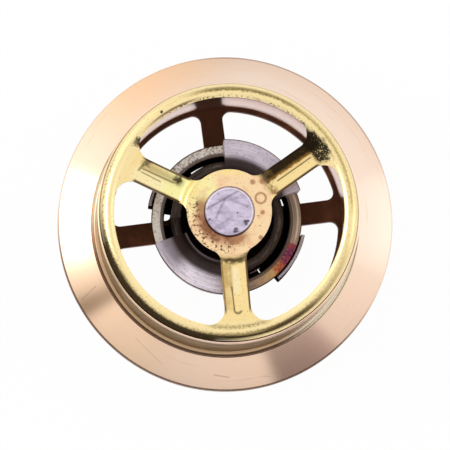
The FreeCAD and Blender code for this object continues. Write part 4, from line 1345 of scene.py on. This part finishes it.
@dataclass
class ReturnSpring:
    """The round-wire spring between the rod's collar and the cage's wings."""

    radius: float = 10.0
    wire: float = 1.9
    base: float = 33.1
    top: float = 45.55
    turns: float = 3.5
    stroke: float = 6.0
    steps: int = 220

    def build(self) -> None:
        """Wind the spring and give it a mesh of its own."""
        shell = Shell()
        rows = []
        steps, length = self.steps, self.top - self.base
        for k in range(steps + 1):
            angle = 2 * math.pi * self.turns * k / steps
            level = self.base + length * k / steps
            row = []
            for j in range(17):
                round_turn = 2 * math.pi * j / 16
                reach = self.radius + self.wire / 2 * math.cos(round_turn)
                up = level + self.wire / 2 * math.sin(round_turn)
                up = min(max(up, self.base), self.top)
                row.append(Vector((reach * math.cos(angle), reach * math.sin(angle), up)))
            rows.append(row)
        shell.grid(rows)
        piece = shell.done("coil_spring")
        # Painted shade: the spring's steel tones are darkened, as it lies deep in the element.
        tones = (0.085, 0.060, 0.050), (0.03, 0.022, 0.018), (0.20, 0.165, 0.15)
        finish = BrushedSteel("spring_wire", *tones)
        dress(piece, Body.SLEEVE, Metal.SPRING_STEEL, finish, "return_spring")
        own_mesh(piece)


@dataclass
class SpiderCap:
    """The pressed brass cap that slides in the sleeve's mouth."""

    hole: float = 4.8
    top: float = 60.6
    spoke_drop: float = 0.9
    slope: float = 1.9
    crown: float = 0.75
    radius: float = 24.65
    shoulder: float = 1.85
    skirt_base: float = 48.2
    wall: float = 0.9
    rise: float = 0.7
    rise_start: float = 12.0
    rise_reach: float = 9.0
    rib_height: float = 0.126
    rib_side: float = 0.9
    rib_width: float = 2.2
    rib_start: float = 10.4
    rib_end: float = 18.8
    plan: Spokes = field(default_factory=lambda: Spokes(8.1, 22.0, 5.0, 3, 35.0, 2.2, 2.9))

    def height(self, along: float, off: float) -> float:
        """Return the pressed surface's level at a point of the nearest spoke."""
        radius = math.hypot(along, off)
        down = smooth((radius - self.plan.hub - 0.1) / self.slope)
        rise = 1 - self.rise * smooth((radius - self.rise_start) / self.rise_reach)
        up = smooth((radius - self.plan.opening - 0.05) / self.crown)
        level = self.top - self.spoke_drop * down * rise * (1 - up)
        half = self.rib_width / 2
        nearest = min(max(along, self.rib_start + half), self.rib_end - half)
        away = math.hypot(along - nearest, off)
        return level + self.rib_height * smooth((half + 0.1 - away) / self.rib_side)

    def build(self) -> None:
        """Press the cap and finish it."""
        start = self.radius - self.shoulder
        centre = self.top - self.shoulder
        opening = self.plan.opening
        beyond = [(opening + (start - opening) * k / 6, None) for k in range(1, 6)]
        for k in range(13):
            bend = math.pi / 2 * k / 12
            reach = start + self.shoulder * math.sin(bend)
            beyond.append((reach, centre + self.shoulder * math.cos(bend)))
        rows = 8
        for k in range(1, rows + 1):
            beyond.append((self.radius, centre + (self.skirt_base - centre) * k / rows))
        shell = Shell()
        self.plan.cover(shell, self.hole, beyond, self.height)
        piece = shell.done("brass_cap", 60.0)
        thicken(piece, self.wall, 0.05)
        dress(piece, Body.CAP, Metal.BRASS, PressedBrass(), "spider_cap")


@dataclass
class RodGroup:
    """The rod with its riveted end, the washer under the hub, the collar and its ring."""

    piston: float = 3.2
    neck: float = 4.75
    shaft: float = 5.6
    piston_base: float = 16.0
    neck_base: float = 30.45
    ring_base: float = 30.85
    ring_top: float = 31.65
    collar_top: float = 33.1
    washer_base: float = 58.9
    rod_top: float = 61.3

    def build(self) -> None:
        """Turn the rod and finish its pieces."""
        groove = self.neck - 0.7
        outline = [
            (0.0, self.piston_base),
            (self.piston, self.piston_base),
            (self.piston, self.neck_base),
            (self.neck, self.neck_base),
            (self.neck, self.ring_base),
            (groove, self.ring_base),
            (groove, self.ring_top),
            (self.neck, self.ring_top),
            (self.neck, self.collar_top),
            (self.shaft, self.collar_top),
            (self.shaft, self.washer_base),
            (self.neck, self.washer_base),
            (self.neck, self.rod_top),
            (0.0, self.rod_top),
        ]
        shell = Shell()
        shell.turn(softened(outline, {1: 0.2, 9: 0.2, 10: 0.2, 12: 0.28}), steps=128)
        piece = shell.done("riveted_rod")
        dress(piece, Body.CAP, Metal.STEEL, RivetSteel(), "push_rod")
        tones = (0.40, 0.36, 0.36), (0.20, 0.16, 0.15), (0.60, 0.55, 0.56)
        steel = BrushedSteel("rod_fittings", *tones)
        for node in ("hub_washer", "spring_collar", "rod_ring"):
            paint_node(node, steel)


# Studio


@dataclass
class Studio:
    """The pale floor, the soft light and the camera above the element.

    Angles are in degrees.  lean is the camera's tilt off the valve's axis and side the
    direction that it leans to.  The rings of light give azimuth and level, the lamps name,
    azimuth, polar angle, power and size in metres.
    """

    aim: tuple[float, float, float] = (0.0, 0.0, 30.0)
    distance: float = 950.0
    lean: float = 4.6
    side: float = 250.8
    width: float = 88.65
    shift: tuple[float, float] = (0.00044, 0.0029)
    film: float = 36.0
    floor_half: float = 2.5
    paper: Colour = (0.94, 0.94, 0.94)
    white: Colour = (1.0, 1.0, 1.0)
    zenith: Colour = (0.97, 0.97, 0.97)
    brown_flag: Colour = (1.0, 0.85, 0.70)
    rosy_flag: Colour = (1.0, 0.81, 0.86)
    high_ring: tuple[tuple[float, float], ...] = (
        (0, 1.08), (20, 1.08), (60, 1.05), (100, 1.03), (120, 1.12), (150, 1.5), (158, 1.75),
        (191, 1.75), (198, 1.1), (202, 0.9), (204.5, 0.24), (209.3, 0.24), (212, 1.2), (222, 1.0),
        (240, 0.87), (270, 0.95), (289.8, 0.99), (292.8, 0.2), (308, 0.26), (316, 0.42),
        (319.5, 0.92), (340, 1.04), (360, 1.08),
    )
    low_ring: tuple[tuple[float, float], ...] = (
        (0, 1.3), (40, 0.95), (90, 0.6), (130, 1.3), (185, 1.3), (205, 0.3), (220, 0.05),
        (255, 0.05), (285, 0.12), (310, 0.3), (340, 1.0), (360, 1.3),
    )
    lamps: tuple[tuple[str, float, float, float, float], ...] = (
        ("left_softbox", 172.0, 48.0, 0.9, 0.45),
        ("right_softbox", 5.0, 62.0, 0.2, 0.5),
    )
    lamp_distance: float = 0.9
    lamp_aim: tuple[float, float, float] = (0.0, 0.0, 0.03)

    def build(self) -> None:
        """Set the whole studio up."""
        self.lay_floor()
        self.light_dome()
        self.hang_lamps()
        self.place_camera()
        bpy.context.scene.view_settings.view_transform = "Standard"

    def lay_floor(self) -> None:
        """Lay the white floor, which keeps the object's shadow."""
        data = bpy.data.meshes.new("floor")
        half = self.floor_half
        corners = [(-half, -half, 0), (half, -half, 0), (half, half, 0), (-half, half, 0)]
        data.from_pydata(corners, [], [(0, 1, 2, 3)])
        floor = put_in_scene("floor", data)
        g = Graph("floor_white")
        path = g.add("ShaderNodeLightPath").outputs
        seen = g.math("MAXIMUM", path["Is Camera Ray"], path["Is Glossy Ray"])
        seen = g.math("MAXIMUM", seen, path["Is Transmission Ray"])
        paper = g.add("ShaderNodeBsdfDiffuse", {"Color": self.paper}).outputs[0]
        glow = g.add("ShaderNodeEmission", {"Color": self.white, "Strength": 1.0}).outputs[0]
        g.join(g.add("ShaderNodeMixShader", {0: g.times(seen, 0.96), 1: paper, 2: glow}), g.out)
        data.materials.append(g.material)

    def light_dome(self) -> None:
        """Make the soft dome: bright overhead, dim low down, with flags at two sides."""
        world = bpy.data.worlds.new("dome")
        bpy.context.scene.world = world
        world.use_nodes = True
        g = Nodes(world.node_tree)
        where = g.add("ShaderNodeTexCoord").outputs["Generated"]
        x, y, z = g.add("ShaderNodeSeparateXYZ", {0: where}).outputs
        turn = g.times(g.math("ARCTAN2", y, x), 1 / (2 * math.pi))
        turn = g.math("FRACT", g.plus(turn, 1.0))
        high = self.ring_of_light(g, turn, self.high_ring)
        sides = self.ring_of_light(g, turn, self.low_ring)
        level = g.mix(g.step(z, 0.34, 0.56), sides, high)
        level = g.mix(g.step(z, 0.82, 0.94), level, self.zenith)
        path = g.add("ShaderNodeLightPath").outputs
        shown = g.mix(path["Is Camera Ray"], level, self.white)
        glow = g.add("ShaderNodeBackground", {"Color": shown, "Strength": 1.0})
        g.join(glow, g.add("ShaderNodeOutputWorld"))

    def ring_of_light(
        self, g: Nodes, turn: Socket, ring: tuple[tuple[float, float], ...]
    ) -> Socket:
        """Return the light round the dome.

        Args:
            g: the dome's node tree.
            turn: the azimuth from 0 to 1.
            ring: azimuth in degrees and level.

        Returns:
            The colour of the light.
        """
        stops = tuple(
            (azimuth / 360, tuple(level / 2 * part for part in self.flag(azimuth, level)))
            for azimuth, level in ring
        )
        return g.scaled(g.ramp(turn, stops), 2.0)

    def flag(self, azimuth: float, level: float) -> Colour:
        """Return the light's tint: dark flags are brown to the left and rosy to the right."""
        if level >= 0.6:
            return self.white
        return self.rosy_flag if azimuth > 280 else self.brown_flag

    def hang_lamps(self) -> None:
        """Hang one soft lamp to the left and a faint one to the right."""
        for name, azimuth, polar, power, size in self.lamps:
            lamp = bpy.data.lights.new(name, "AREA")
            lamp.shape = "DISK"
            lamp.size = size
            lamp.energy = power
            hung = put_in_scene(name, lamp)
            way = aloft(azimuth, polar)
            hung.location = way * self.lamp_distance + Vector(self.lamp_aim)
            hung.rotation_mode = "QUATERNION"
            hung.rotation_quaternion = way.to_track_quat("Z", "Y")

    def place_camera(self) -> None:
        """Place the camera as in the photograph, the row's Y upward."""
        lens = bpy.data.cameras.new("photo_camera")
        camera = put_in_scene("photo_camera", lens)
        back = aloft(self.side, self.lean)
        up = (Vector((0, 1, 0)) - back * back.y).normalized()
        camera.location = (Vector(self.aim) + back * self.distance) * MM
        camera.rotation_mode = "QUATERNION"
        turn = camera.rotation_quaternion.to_matrix()
        turn.col[0], turn.col[1], turn.col[2] = up.cross(back), up, back
        camera.rotation_quaternion = turn.to_quaternion()
        lens.sensor_width = self.film
        lens.lens = self.film * self.distance / self.width
        lens.shift_x, lens.shift_y = (-part for part in self.shift)
        lens.clip_start = 0.05
        lens.clip_end = 20.0
        bpy.context.scene.camera = camera


def main() -> None:
    """Build every sub-assembly and set the studio up."""
    logging.basicConfig(level=logging.INFO, format="%(message)s")
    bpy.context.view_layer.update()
    for kind in (
        SeatSleeve, WebPlate, WaxCapsule, SpringCage, ReturnSpring, SpiderCap, RodGroup,
    ):
        kind().build()
        log.info("built %s", kind.__name__)
    Studio().build()


if __name__ == "__main__":
    main()
